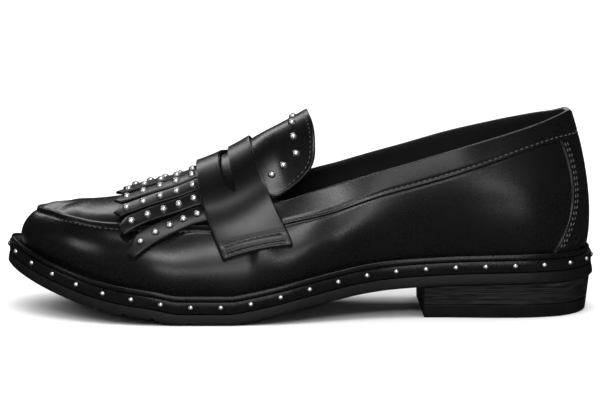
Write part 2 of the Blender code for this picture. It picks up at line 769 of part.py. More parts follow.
def fringePoint(along, across, strip, extra=0.0):
    # across is counted in strip pitches from the fringe's middle
    root, end = stripRoot * soleLength, stripEnds[strip] * soleLength
    reach = float(np.clip((along - root) / (end - root), 0.0, 1.2))
    turned = reach ** 1.4
    pitch = stripPitch * (1 + (stripSplay - 1) * turned)
    around = designCentre + fringeDrift * turned + across * pitch
    overSeam = apronRidge * float(smoothStep(seamAround - 0.007, seamAround, abs(around)))
    return onInstep(along, around, layerGap + overSeam + fringeLift * reach ** 2 + extra)


def makeFringe():
    points, faces = [], []
    middle = (stripCount - 1) / 2
    rootRows = [meeting + clearance, (meeting + stripRoot * soleLength) / 2, stripRoot * soleLength]
    slit = slitWidth / stripPitch / 2
    grids = []
    for strip in range(stripCount):
        end = stripEnds[strip] * soleLength
        alongs = rootRows + [rootRows[-1] + (end - rootRows[-1]) * k / fringeRows
                             for k in range(1, fringeRows + 1)]
        grid = []
        for row, along in enumerate(alongs):
            line = []
            for offset in (-0.5 + slit, 0.0, 0.5 - slit):
                beyond = pointDepth * (offset == 0.0) if row == len(alongs) - 1 else 0.0
                line.append(len(points))
                points.append(fringePoint(along + beyond, strip - middle + offset, strip))
            grid.append(line)
        grids.append(grid)
        for row in range(len(grid) - 1):
            for k in range(2):
                faces.append([grid[row][k], grid[row][k + 1], grid[row + 1][k + 1], grid[row + 1][k]])
    for left, right in zip(grids, grids[1:]):
        for row in range(len(rootRows) - 1):
            faces.append([left[row][2], right[row][0], right[row + 1][0], left[row + 1][2]])
    fringe = addObject("kiltie", meshFrom("kiltie", points, faces, tidy=False), calf)
    solidify(fringe, fringeThick, 1.0)
    return fringe


strapFront = monotoneCurve(np.array(column(strapSections, 0)) * ballWidth,
                           np.array(column(strapSections, 1)) * soleLength)
strapBack = monotoneCurve(np.array(column(strapSections, 0)) * ballWidth,
                          np.array(column(strapSections, 2)) * soleLength)
strapStart, strapEnd = strapSections[0][0] * ballWidth, strapSections[-1][0] * ballWidth
strapColumns, strapRows = 5, 30
strapSpare = max(row[2] for row in tongueSections[:4]) * quarterHeight + tongueEdgeLift


def strapLift(w):
    # Over fringe and tongue the strap rides on them, and beside them it lies on the upper
    beyond = max(layersFrom - w, w - layersTo)
    overSeam = apronRidge * float(smoothStep(seamAround - 0.007, seamAround, abs(w)))
    riding = layersTop + strapSpare + overSeam
    side = strapSideLift + overSeam * 0.5
    return layerGap + side + (riding - side) * float(1 - smoothStep(0.001, 0.014, beyond))


def makeStrap():
    points, faces = [], []
    for row in range(strapRows + 1):
        w = strapStart + (strapEnd - strapStart) * row / strapRows
        front, back = float(strapFront(w)), float(strapBack(w))
        for k in range(strapColumns + 1):
            along = back + (front - back) * k / strapColumns
            points.append(onInstep(along, w, strapLift(w)))
    wide = strapColumns + 1
    for row in range(strapRows):
        for k in range(strapColumns):
            a = row * wide + k
            faces.append([a, a + wide, a + wide + 1, a + 1])
    strap = addObject("saddle_strap", meshFrom("saddle_strap", points, faces, tidy=False), calf)
    solidify(strap, strapThick, 1.0)
    # Half-moon slot: its straight edge faces the heel
    w0 = designCentre
    along = (strapFront(w0) + strapBack(w0)) / 2 - slotWidth / 2
    centre = onInstep(float(along), w0, layersTop)
    ahead = onInstep(float(along) + 0.004, w0, layersTop) - centre
    beside = onInstep(float(along), w0 - 0.004, layersTop) - centre
    ahead = Vector(ahead).normalized()
    up = ahead.cross(Vector(beside)).normalized()
    if up.z < 0:
        up.negate()
    beside = up.cross(ahead).normalized()
    slot = bpy.data.meshes.new("slot")
    work = bmesh.new()
    rim = []
    for k in range(13):
        angle = math.pi * k / 12
        rim.append(Vector(centre) + beside * (slotLength / 2 * math.cos(angle))
                   + ahead * (slotWidth * math.sin(angle) ** 0.8))
    deep = 0.012
    low = [work.verts.new(point - up * deep) for point in rim]
    high = [work.verts.new(point + up * deep) for point in rim]
    work.faces.new(low)
    work.faces.new(high[::-1])
    for k in range(len(rim)):
        n = (k + 1) % len(rim)
        work.faces.new([low[k], high[k], high[n], low[n]])
    bmesh.ops.recalc_face_normals(work, faces=work.faces)
    work.to_mesh(slot)
    work.free()
    cutWith(strap, addObject("slot_cutter", slot, calf, cutterCollection))
    return strap


tongueHalf = monotoneCurve([-row[0] for row in tongueSections],
                           [row[1] * ballWidth for row in tongueSections])
tongueStand = monotoneCurve([-row[0] for row in tongueSections],
                            [row[2] * quarterHeight for row in tongueSections])
tongueColumns, tongueRows = 10, 12
fringeStuds = 5
tipToStud = 0.0028         # last stud back from the strip's corners
strapToStud = 0.0027       # first stud ahead of the strap's edge
tongueStuds = [
    # along, around: five across the tongue's end and two down each side
    (0.504, -0.280), (0.508, -0.178), (0.510, -0.074), (0.508, 0.029), (0.504, 0.131),
    (0.526, -0.312), (0.548, -0.340), (0.526, 0.163), (0.548, 0.191),
]


def tonguePoint(share, across, extra=0.0):
    # across runs from -1 to 1 over the tongue's width at that place
    half = float(tongueHalf(-share))
    return onInstep(share * soleLength, tongueCentre + across * half,
                    layerGap + float(tongueStand(-share)) + tongueEdgeLift * across ** 2 + extra)


def makeTongue():
    points, faces = [], []
    front, back = tongueSections[0][0] - clearance / soleLength, tongueSections[-1][0]
    for row in range(tongueRows + 1):
        t = row / tongueRows
        share = front + (back - front) * (1 - (1 - t) ** 1.5)
        for k in range(tongueColumns + 1):
            across = math.sin(math.pi / 2 * (2 * k / tongueColumns - 1))
            points.append(tonguePoint(share, across))
    wide = tongueColumns + 1
    for row in range(tongueRows):
        for k in range(tongueColumns):
            a = row * wide + k
            faces.append([a, a + wide, a + wide + 1, a + 1])
    tongue = addObject("tongue", meshFrom("tongue", points, faces, tidy=False), calf)
    solidify(tongue, tongueThick, 1.0)
    return tongue


def studMesh():
    mesh = bpy.data.meshes.new("stud")
    work = bmesh.new()
    bmesh.ops.create_uvsphere(work, u_segments=8, v_segments=4, radius=studDiameter / 2)
    below = [vert for vert in work.verts if vert.co.z < -1e-6]
    bmesh.ops.delete(work, geom=below, context="VERTS")
    bmesh.ops.holes_fill(work, edges=work.edges, sides=0)
    bmesh.ops.recalc_face_normals(work, faces=work.faces)
    work.to_mesh(mesh)
    work.free()
    mesh.shade_smooth()
    mesh.set_sharp_from_angle(angle=math.radians(50))
    mesh.materials.append(polishedStud)
    return mesh


def placeStud(name, mesh, seat, above):
    # The dome's flat base lies just over the leather at seat, facing above
    stud = bpy.data.objects.new(name, mesh)
    partCollection.objects.link(stud)
    normal = (Vector(above) - Vector(seat)).normalized()
    stud.location = Vector(seat)
    stud.rotation_euler = normal.to_track_quat("Z", "Y").to_euler()


def makeStuds():
    mesh = studMesh()
    onFringe = fringeThick + clearance
    middle = (stripCount - 1) / 2
    for strip in range(stripCount):
        last = stripEnds[strip] * soleLength - tipToStud
        around = designCentre + (strip - middle) * stripPitch
        first = float(strapFront(around)) + strapToStud
        for k in range(fringeStuds):
            along = first + (last - first) * k / (fringeStuds - 1)
            seat = fringePoint(along, strip - middle, strip, onFringe)
            above = fringePoint(along, strip - middle, strip, onFringe + 0.001)
            placeStud("kiltie_stud_%d_%d" % (strip + 1, k + 1), mesh, seat, above)
    onTongue = tongueThick + clearance
    for k, (share, around) in enumerate(tongueStuds):
        across = (around * ballWidth - tongueCentre) / float(tongueHalf(-share))
        placeStud("tongue_stud_%d" % (k + 1), mesh, tonguePoint(share, across, onTongue),
                  tonguePoint(share, across, onTongue + 0.001))


makeUpper()
makeOutsole()
makeBand()
makeWelt()
makeInsole()
makeHeel()
makeFringe()
makeStrap()
makeTongue()
makeStuds()
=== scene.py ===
# Kiltie loafer, left shoe: its looks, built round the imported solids. Sizes are in metres,
# the toe points to -X and the lateral side faces -Y.
import math
import bpy
import bmesh
import numpy as np
from mathutils import Matrix, Vector

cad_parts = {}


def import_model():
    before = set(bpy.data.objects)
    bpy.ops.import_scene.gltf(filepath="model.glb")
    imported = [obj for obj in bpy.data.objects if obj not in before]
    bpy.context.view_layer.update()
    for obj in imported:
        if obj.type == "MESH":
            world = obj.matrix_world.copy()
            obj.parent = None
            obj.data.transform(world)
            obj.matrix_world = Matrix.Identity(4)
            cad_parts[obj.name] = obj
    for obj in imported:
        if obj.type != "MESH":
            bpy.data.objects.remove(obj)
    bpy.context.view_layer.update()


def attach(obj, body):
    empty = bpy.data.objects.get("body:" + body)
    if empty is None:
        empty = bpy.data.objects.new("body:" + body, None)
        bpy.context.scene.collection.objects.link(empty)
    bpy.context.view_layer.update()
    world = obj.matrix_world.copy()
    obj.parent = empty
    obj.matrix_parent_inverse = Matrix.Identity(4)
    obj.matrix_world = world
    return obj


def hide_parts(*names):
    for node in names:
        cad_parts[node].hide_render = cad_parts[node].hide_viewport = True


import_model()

# The driving sizes and tables of the solids, from which every piece below is drawn
last = {
    "soleLength": 0.270,
    "ballWidth": 0.094,
    "heelWidth": 0.062,
    "heelRise": 0.0166,               # underside of the outsole above the floor, at the back
    "toeSpring": 0.0210,              # underside of the outsole above the floor, at the tip
    "quarterHeight": 0.0645,          # collar above the sole at the back
    "wall": 0.0020,                   # leather and lining of the upper
    "clearance": 0.0003,              # between pieces that meet face to face
    "layerGap": 0.0005,               # between curved layers that lie on each other
    "throatAlong": 0.585,
}
sole = {
    "outsoleThick": 0.0050,
    "bandThick": 0.0053,
    "topLiftThick": 0.0060,
    "outsoleFlare": 0.0007,           # how far the tread edge stands out past the band
    "heelTaper": 0.0020,              # how far the heel draws in from seat to floor
    "breastLateral": 0.290,           # breast line on each side, share of the sole's length
    "breastMedial": 0.297,
    "grooveDepth": 0.0012,
    "grooveWidth": 0.0018,
}
welt = {
    "weltHeight": 0.0023,
    "weltSetback": 0.0009,            # welt's outer edge, in from the band's edge
    "beadWidth": 0.0012,
    "heelInset": 0.0031,              # upper in from the sole's edge, at the heel
    "toeInset": 0.0054,               # and at the toe
    "insoleThick": 0.0020,
}
raised = {
    "collarStep": 0.0007,
    "apronRidge": 0.0009,
    "backstayStep": 0.0008,
    "backstayEdge": 0.050,            # share of the sole's length
}
layers = {
    "strapThick": 0.0017,
    "fringeThick": 0.0016,
    "tongueThick": 0.0018,
    "tongueCentre": -0.0070,          # middle of the tongue, measured from the instep ridge
    "underStrap": 0.633,              # where fringe and tongue meet under the strap
    "stripCount": 7,
    "stripPitch": 0.0098,
    "stripSplay": 1.14,               # pitch at the tips over pitch at the root
    "fringeDrift": -0.0063,           # how far the tips drift to the lateral side
    "fringeLift": 0.0012,             # how far the strips' ends stand off the vamp
    "tongueEdgeLift": 0.0008,         # how far the tongue's sides rise over the throat's edge
    "strapSideLift": 0.0008,          # the strap's ends over the quarters, on top of the layer gap
    "seamAround": 0.040,              # the apron seam's place round the instep, under the outer strips
    "slitWidth": 0.0010,
    "pointDepth": 0.0032,             # how far each strip's point stands past its corners
    "designCentre": -0.0095,          # middle of fringe, slot and tongue, measured from the instep ridge
}
studs = {
    "studDiameter": 0.0036,
    "soleStudDiameter": 0.0028,
    "soleStudPitch": 0.0137,
    "tipToStud": 0.0028,              # last stud back from the strip's corners
    "strapToStud": 0.0027,            # first stud ahead of the strap's edge
    "fringeStuds": 5,
}

soleSections = [
    # along, lateral, medial
    (0.000, 0.000, 0.000),
    (0.0185, 0.263, 0.263),
    (0.048, 0.397, 0.397),
    (0.096, 0.477, 0.474),
    (0.167, 0.500, 0.494),
    (0.259, 0.484, 0.461),
    (0.352, 0.485, 0.406),
    (0.437, 0.490, 0.352),
    (0.519, 0.493, 0.374),
    (0.600, 0.491, 0.443),
    (0.681, 0.495, 0.493),
    (0.756, 0.490, 0.492),
    (0.822, 0.448, 0.462),
    (0.881, 0.373, 0.405),
    (0.930, 0.277, 0.332),
    (0.967, 0.170, 0.243),
    (0.991, 0.062, 0.148),
    (1.000, -0.043, 0.043),
]

# Side view of the outsole's underside: shares of last["heelRise"] and of last["toeSpring"]
undersideProfile = [
    # along, heel, toe
    (0.000, 1.000, 0.000),
    (0.096, 0.988, 0.000),
    (0.200, 0.950, 0.000),
    (0.290, 0.880, 0.000),
    (0.352, 0.810, 0.000),
    (0.400, 0.717, 0.000),
    (0.448, 0.566, 0.000),
    (0.496, 0.398, 0.000),
    (0.548, 0.200, 0.000),
    (0.585, 0.080, 0.000),
    (0.615, 0.000, 0.000),
    (0.700, 0.000, 0.000),
    (0.744, 0.000, 0.100),
    (0.793, 0.000, 0.185),
    (0.841, 0.000, 0.295),
    (0.893, 0.000, 0.480),
    (0.946, 0.000, 0.705),
    (0.972, 0.000, 0.835),
    (1.000, 0.000, 1.000),
]

# Each rib of the upper runs from the feather line to the collar, throat edge or instep ridge.
# along is where it starts; topAlong is a share of the length, topLateral and topMedial of
# last["ballWidth"], and the rest are shares of last["quarterHeight"]: the top's rise over the sole,
# and the lengths that the rib leaves its foot and reaches its top with, outward and upward.
upperSections = [
    # along, topAlong, topLateral, topMedial, topRise, footOut, footUp, topOut, topDown, medialExtra
    (0.000, 0.039, 0.000, 0.000, 0.990, 0.055, 0.250, 0.105, 0.310, 0.000),
    (0.0185, 0.045, 0.062, 0.062, 1.002, 0.055, 0.250, 0.105, 0.310, 0.000),
    (0.048, 0.064, 0.117, 0.117, 0.976, 0.055, 0.250, 0.100, 0.300, 0.000),
    (0.096, 0.101, 0.176, 0.176, 0.926, 0.055, 0.250, 0.090, 0.290, 0.016),
    (0.167, 0.167, 0.237, 0.237, 0.853, 0.055, 0.250, 0.070, 0.280, 0.028),
    (0.259, 0.259, 0.287, 0.282, 0.762, 0.050, 0.240, 0.045, 0.270, 0.033),
    (0.352, 0.344, 0.283, 0.277, 0.678, 0.045, 0.230, 0.045, 0.250, 0.038),
    (0.437, 0.426, 0.277, 0.270, 0.622, 0.040, 0.210, 0.075, 0.220, 0.043),
    (0.489, 0.481, 0.290, 0.280, 0.607, 0.035, 0.200, 0.100, 0.200, 0.043),
    (0.522, 0.530, 0.298, 0.290, 0.590, 0.030, 0.190, 0.120, 0.180, 0.028),
    (0.552, 0.573, 0.262, 0.270, 0.765, 0.030, 0.230, 0.180, 0.160, 0.010),
    (0.570, 0.594, 0.150, 0.170, 0.880, 0.030, 0.320, 0.260, 0.100, 0.000),
    (0.585, 0.604, -0.043, 0.043, 0.935, 0.030, 0.370, 0.380, 0.045, 0.000),
    (0.611, 0.633, -0.045, 0.045, 0.884, 0.035, 0.365, 0.410, 0.030, 0.000),
    (0.681, 0.696, -0.050, 0.050, 0.770, 0.042, 0.355, 0.430, 0.010, 0.000),
    (0.756, 0.759, -0.053, 0.053, 0.645, 0.039, 0.370, 0.430, 0.000, 0.000),
    (0.822, 0.807, -0.053, 0.053, 0.550, 0.039, 0.385, 0.400, 0.000, 0.000),
    (0.881, 0.844, -0.050, 0.050, 0.500, 0.036, 0.335, 0.350, 0.000, 0.000),
    (0.930, 0.867, -0.047, 0.047, 0.472, 0.028, 0.260, 0.300, 0.000, 0.000),
    (0.967, 0.881, -0.045, 0.045, 0.450, 0.021, 0.200, 0.260, 0.000, 0.000),
    (0.991, 0.891, -0.043, 0.043, 0.436, 0.015, 0.160, 0.225, 0.000, 0.000),
    (1.000, 0.896, -0.043, 0.043, 0.430, 0.013, 0.145, 0.217, 0.000, 0.000),
]

# Height over the sole of the one seam that is the collar band's lower edge behind the strap
# and the apron's edge in front of it, as a share of last["quarterHeight"]
seamProfile = [
    # along, rise
    (0.000, 0.837),
    (0.063, 0.812),
    (0.103, 0.772),
    (0.211, 0.642),
    (0.344, 0.513),
    (0.463, 0.436),
    (0.524, 0.440),
    (0.667, 0.496),
    (0.740, 0.460),
    (0.815, 0.417),
    (0.873, 0.378),
    (0.919, 0.341),
    (0.950, 0.305),
]

# The instep line that tongue and strap follow behind the throat: share of last["quarterHeight"]
instepProfile = [
    # along, rise
    (0.440, 1.105),
    (0.493, 1.085),
    (0.516, 1.065),
    (0.547, 1.035),
    (0.575, 0.992),
    (0.604, 0.935),
]

# Strap edges by distance round the instep from the ridge (share of last["ballWidth"], lateral
# negative), with its front and back edge as shares of the length
strapSections = [
    # around, front, back
    (-0.702, 0.624, 0.513),
    (-0.585, 0.640, 0.534),
    (-0.479, 0.653, 0.551),
    (-0.372, 0.664, 0.561),
    (-0.200, 0.670, 0.572),
    (-0.070, 0.672, 0.578),
    (0.100, 0.671, 0.576),
    (0.250, 0.664, 0.566),
    (0.400, 0.652, 0.552),
    (0.520, 0.638, 0.532),
    (0.620, 0.622, 0.512),
]

# Tongue: half width at each distance back from its front end (shares of the length and of
# last["ballWidth"]), and how far it stands off the instep (share of last["quarterHeight"])
tongueSections = [
    # along, halfWidth, lift
    (0.633, 0.240, 0.000),
    (0.600, 0.290, 0.004),
    (0.565, 0.360, 0.006),
    (0.540, 0.394, 0.006),
    (0.510, 0.380, 0.014),
    (0.490, 0.340, 0.026),
    (0.478, 0.270, 0.036),
    (0.472, 0.170, 0.040),
]


def monotoneCurve(keys, values):
    # Cubic through the table's rows that never overshoots between two of them
    x = np.asarray(keys, float)
    y = np.asarray(values, float)
    step = np.diff(x)
    slope = np.diff(y) / step
    tangent = np.zeros(len(x))
    tangent[0] = slope[0]
    tangent[-1] = slope[-1]
    for i in range(1, len(x) - 1):
        if slope[i - 1] * slope[i] > 0:
            before = 2 * step[i] + step[i - 1]
            after = step[i] + 2 * step[i - 1]
            tangent[i] = (before + after) / (before / slope[i - 1] + after / slope[i])

    def curve(at):
        at = np.clip(np.asarray(at, float), x[0], x[-1])
        k = np.clip(np.searchsorted(x, at, side="right") - 1, 0, len(x) - 2)
        h = step[k]
        t = (at - x[k]) / h
        return (y[k] * (1 + 2 * t) * (1 - t) ** 2 + tangent[k] * h * t * (1 - t) ** 2
                + y[k + 1] * t * t * (3 - 2 * t) + tangent[k + 1] * h * t * t * (t - 1))
    return curve


def column(table, index):
    return [row[index] for row in table]


def tableCurve(table, index, keySize, size):
    # One column of a table over its first, each in the size that it is a share of
    return monotoneCurve(np.array(column(table, 0)) * keySize, np.array(column(table, index)) * size)


def smoothStep(low, high, value):
    t = np.clip((np.asarray(value, float) - low) / (high - low), 0.0, 1.0)
    return t * t * (3 - 2 * t)


def runOf(points):
    # Distance run along a line of points, from its first
    return np.concatenate([[0.0], np.cumsum(np.linalg.norm(np.diff(points, axis=0), axis=1))])


# Underside and top of the sole, by distance from the heel
undersideHeel = tableCurve(undersideProfile, 1, 1, 1)
undersideToe = tableCurve(undersideProfile, 2, 1, 1)


def underside(s):
    share = np.asarray(s, float) / last["soleLength"]
    return last["heelRise"] * undersideHeel(share) + last["toeSpring"] * undersideToe(share)


bandLow = sole["outsoleThick"] + last["clearance"]
soleTopRise = bandLow + sole["bandThick"] + last["clearance"]


def soleTop(s):
    return underside(s) + soleTopRise


# Plan outline: both sides share one parameter p, 0 at the heel's back and 1 at the toe's tip
planAlong = np.array(column(soleSections, 0)) * last["soleLength"]
towardBall = smoothStep(0.3, 0.6, column(soleSections, 0))
localWidth = last["heelWidth"] + (last["ballWidth"] - last["heelWidth"]) * towardBall
planSide = {
    "lateral": -np.array(column(soleSections, 1)) * localWidth,
    "medial": np.array(column(soleSections, 2)) * localWidth,
}
meanHalf = (planSide["medial"] - planSide["lateral"]) / 2
chord = np.hypot(np.diff(planAlong), np.diff(meanHalf))
planKnots = np.concatenate([[0.0], np.cumsum(chord)]) / np.sum(chord)


def outlineCurve(side):
    other = "medial" if side == "lateral" else "lateral"
    along = np.concatenate([[planAlong[1]], planAlong, [planAlong[-2]]])
    across = np.concatenate([[planSide[other][1]], planSide[side], [planSide[other][-2]]])
    knots = np.concatenate([[-planKnots[1]], planKnots, [2 - planKnots[-2]]])
    step = np.diff(knots)

    def tangents(values):
        slope = np.diff(values) / step
        return (step[1:] * slope[:-1] + step[:-1] * slope[1:]) / (step[1:] + step[:-1])

    alongTangent = tangents(along)
    acrossTangent = tangents(across)

    def hermite(values, tangent, p, derivative):
        k = np.clip(np.searchsorted(planKnots, p, side="right") - 1, 0, len(planKnots) - 2)
        h = planKnots[k + 1] - planKnots[k]
        t = (p - planKnots[k]) / h
        a, b, m, n = values[k + 1], values[k + 2], tangent[k] * h, tangent[k + 1] * h
        if derivative:
            return ((6 * t * t - 6 * t) * (a - b) + (3 * t * t - 4 * t + 1) * m
                    + (3 * t * t - 2 * t) * n) / h
        return (a * (1 + 2 * t) * (1 - t) ** 2 + m * t * (1 - t) ** 2
                + b * t * t * (3 - 2 * t) + n * t * t * (t - 1))

    def outline(p, inset=0.0):
        p = np.clip(np.asarray(p, float), 0.0, 1.0)
        s = hermite(along, alongTangent, p, False)
        y = hermite(across, acrossTangent, p, False)
        ds = hermite(along, alongTangent, p, True)
        dy = hermite(across, acrossTangent, p, True)
        turn = 1.0 if side == "lateral" else -1.0
        length = np.hypot(ds, dy)
        outS, outY = turn * dy / length, -turn * ds / length
        return s - inset * outS, y - inset * outY, outS, outY
    return outline


outlines = {"lateral": outlineCurve("lateral"), "medial": outlineCurve("medial")}
denseP = np.linspace(0.0, 1.0, 2001)
denseAlong = (outlines["lateral"](denseP)[0] + outlines["medial"](denseP)[0]) / 2


def positionOf(share):
    # The outline parameter at a distance from the heel, given as a share of the length
    return np.interp(np.asarray(share, float) * last["soleLength"], denseAlong, denseP)


def featherInset(p):
    return welt["heelInset"] + (welt["toeInset"] - welt["heelInset"]) * np.asarray(p, float)


def spread(count, crowding=0.45):
    # Values from 0 to 1 that stand closer together toward both ends
    t = np.linspace(0.0, 1.0, count + 1)
    return t - crowding * np.sin(2 * math.pi * t) / (2 * math.pi)


def world(s, y, z):
    return np.stack(np.broadcast_arrays(last["soleLength"] / 2 - s, y, z), axis=-1)


def heelDistance(point):
    return last["soleLength"] / 2 - point[..., 0]


# Surface of the upper
sectionKeys = positionOf(column(upperSections, 0))


def sectionCurve(index, size):
    return monotoneCurve(sectionKeys, np.array(column(upperSections, index)) * size)


topAlong = sectionCurve(1, last["soleLength"])
topAcross = {"lateral": sectionCurve(2, -last["ballWidth"]), "medial": sectionCurve(3, last["ballWidth"])}
topRise, footOut, footUp, topOut, topDown, medialExtra = (
    sectionCurve(index, last["quarterHeight"]) for index in range(4, 10))
seamRise = tableCurve(seamProfile, 1, last["soleLength"], last["quarterHeight"])
throatP = float(positionOf(last["throatAlong"]))


def ribPoint(side, p, t):
    # Point of the plain upper: rib p, from its foot above the welt (t = 0) to its top (t = 1)
    p, t = np.broadcast_arrays(np.asarray(p, float), np.asarray(t, float))
    footS, footY, outS, outY = outlines[side](p, featherInset(p))
    footZ = soleTop(footS) + welt["weltHeight"]
    topS, topY = topAlong(p), topAcross[side](p)
    topZ = soleTop(topS) + topRise(p) + (medialExtra(p) if side == "medial" else 0.0)
    nudge = 0.002
    ridgeSlope = np.where(
        p >= throatP,
        (soleTop(topAlong(p + nudge)) + topRise(p + nudge) - soleTop(topAlong(p - nudge))
         - topRise(p - nudge)) / np.maximum(topAlong(p + nudge) - topAlong(p - nudge), 1e-6),
        0.0)
    onePoint = (footS + outS * footOut(p), footY + outY * footOut(p), footZ + footUp(p))
    twoPoint = (topS + outS * topOut(p), topY + outY * topOut(p),
                topZ - topDown(p) + ridgeSlope * outS * topOut(p))
    a, b, c, d = (1 - t) ** 3, 3 * t * (1 - t) ** 2, 3 * t * t * (1 - t), t ** 3
    s = a * footS + b * onePoint[0] + c * twoPoint[0] + d * topS
    y = a * footY + b * onePoint[1] + c * twoPoint[1] + d * topY
    z = a * footZ + b * onePoint[2] + c * twoPoint[2] + d * topZ
    return world(s, y, z)


# Sections across the instep, from which fringe, strap and tongue are laid out
fieldStart, fieldEnd, fieldStep = 0.435, 0.850, 0.0075
aroundLimit, aroundStep = 0.086, 0.002
fieldSmoothing = 6
instepRise = tableCurve(instepProfile, 1, last["soleLength"], last["quarterHeight"])


def sideSection(side, s):
    # Points of the upper at one distance from the heel, foot first
    places = np.linspace(float(positionOf(0.36)), 0.999, 120)
    found = []
    for t in np.linspace(0.0, 1.0, 33):
        line = ribPoint(side, places, t)
        along = heelDistance(line)
        if along.max() < s or along[0] > s:
            continue
        order = slice(0, int(np.argmax(along)) + 1)
        p = float(np.interp(s, along[order], places[order]))
        found.append(ribPoint(side, p, t))
    return np.array(found)


def instepSection(s):
    # Lateral foot, over the ridge, to medial foot
    halves = []
    for side in ("lateral", "medial"):
        half = sideSection(side, s)
        if s < topAlong(throatP):
            edge = half[-1]
            ridge = world(s, topAcross["medial"](throatP), soleTop(s) + instepRise(s))
            leave = edge - half[-4]
            leave = leave / np.linalg.norm(leave)
            span = np.linalg.norm(ridge - edge)
            arrive = np.array([0.0, ridge[1] - edge[1], 0.0])
            arrive = arrive / np.linalg.norm(arrive)
            t = np.linspace(0.0, 1.0, 16)[1:, None]
            arch = (edge * (1 + 2 * t) * (1 - t) ** 2 + leave * span * t * (1 - t) ** 2
                    + ridge * t * t * (3 - 2 * t) + arrive * span * t * t * (t - 1))
            half = np.vstack([half, arch])
        halves.append(half)
    return halves


def buildField():
    around = np.arange(-aroundLimit, aroundLimit + aroundStep / 2, aroundStep)
    alongs = np.arange(fieldStart, fieldEnd, fieldStep) * last["soleLength"]
    rows = []
    for s in alongs:
        lateral, medial = (np.vstack([half[0] + (half[0] - half[1]) * 8, half])
                           for half in instepSection(float(s)))
        path = np.vstack([lateral, medial[::-1][1:]])
        run = np.concatenate([-runOf(lateral[::-1])[::-1], runOf(medial[::-1])[1:]])
        rows.append(np.stack([np.interp(around, run, path[:, k]) for k in range(3)], axis=-1))
    return alongs, around, np.array(rows)


fieldAlong, fieldAround, fieldPoints = buildField()
for _ in range(fieldSmoothing):
    # The layers bridge the throat's edge in one fair curve
    fieldPoints[1:-1] = (fieldPoints[:-2] + 2 * fieldPoints[1:-1] + fieldPoints[2:]) / 4
    fieldPoints[:, 1:-1] = (fieldPoints[:, :-2] + 6 * fieldPoints[:, 1:-1] + fieldPoints[:, 2:]) / 8


def refined(grid, axis, factor=4, passes=5):
    # More rows between the sections, faired so that the layers shade evenly
    grid = np.moveaxis(grid, axis, 0)
    place = np.linspace(0, len(grid) - 1, (len(grid) - 1) * factor + 1)
    low = np.minimum(place.astype(int), len(grid) - 2)
    share = (place - low)[:, None, None]
    grid = grid[low] * (1 - share) + grid[low + 1] * share
    for _ in range(passes * factor):
        grid[1:-1] = (grid[:-2] + 2 * grid[1:-1] + grid[2:]) / 4
    return np.moveaxis(grid, 0, axis)


fieldPoints = refined(refined(fieldPoints, 0), 1)
fieldAlong = np.linspace(fieldAlong[0], fieldAlong[-1], fieldPoints.shape[0])
fieldAround = np.linspace(fieldAround[0], fieldAround[-1], fieldPoints.shape[1])
slopeAlong = np.gradient(fieldPoints, fieldAlong, axis=0)
slopeAround = np.gradient(fieldPoints, fieldAround, axis=1)
fieldNormals = np.cross(-slopeAlong, slopeAround)
fieldNormals /= np.maximum(np.linalg.norm(fieldNormals, axis=-1, keepdims=True), 1e-9)


def between(place, count):
    # The row below each place in a grid, and the share of the way to the next
    place = np.clip(place, 0, count - 1.001)
    row = place.astype(int)
    return row, (place - row)[..., None]


def lookUp(grid, rows, columns):
    (i, a), (j, b) = rows, columns
    return ((1 - a) * ((1 - b) * grid[i, j] + b * grid[i, j + 1])
            + a * ((1 - b) * grid[i + 1, j] + b * grid[i + 1, j + 1]))


def onInstep(s, w, lift):
    # Points at distance s from the heel and w round the ridge (lateral negative), lift above it
    s, w, lift = np.broadcast_arrays(*(np.asarray(v, float) for v in (s, w, lift)))
    rows = between((s - fieldAlong[0]) / (fieldAlong[1] - fieldAlong[0]), len(fieldAlong))
    columns = between((w - fieldAround[0]) / (fieldAround[1] - fieldAround[0]), len(fieldAround))
    normal = lookUp(fieldNormals, rows, columns)
    normal /= np.linalg.norm(normal, axis=-1, keepdims=True)
    return lookUp(fieldPoints, rows, columns) + normal * lift[..., None]


print("loafer: the last and the instep are laid out")


# Shader tools
class Wire:
    # A socket whose maths reads as Python and adds Math nodes
    def __init__(self, look, socket):
        self.look = look
        self.socket = socket

    def maths(self, operation, *others):
        inputs = dict(enumerate((self, *others)))
        return self.look.node("ShaderNodeMath", {"operation": operation}, inputs)[0]

    def reflected(self, operation, first):
        return self.look.node("ShaderNodeMath", {"operation": operation}, {0: first, 1: self})[0]

    def __add__(self, other):
        return self.maths("ADD", other)

    def __radd__(self, other):
        return self.maths("ADD", other)

    def __sub__(self, other):
        return self.maths("SUBTRACT", other)

    def __rsub__(self, other):
        return self.reflected("SUBTRACT", other)

    def __mul__(self, other):
        return self.maths("MULTIPLY", other)

    def __rmul__(self, other):
        return self.maths("MULTIPLY", other)


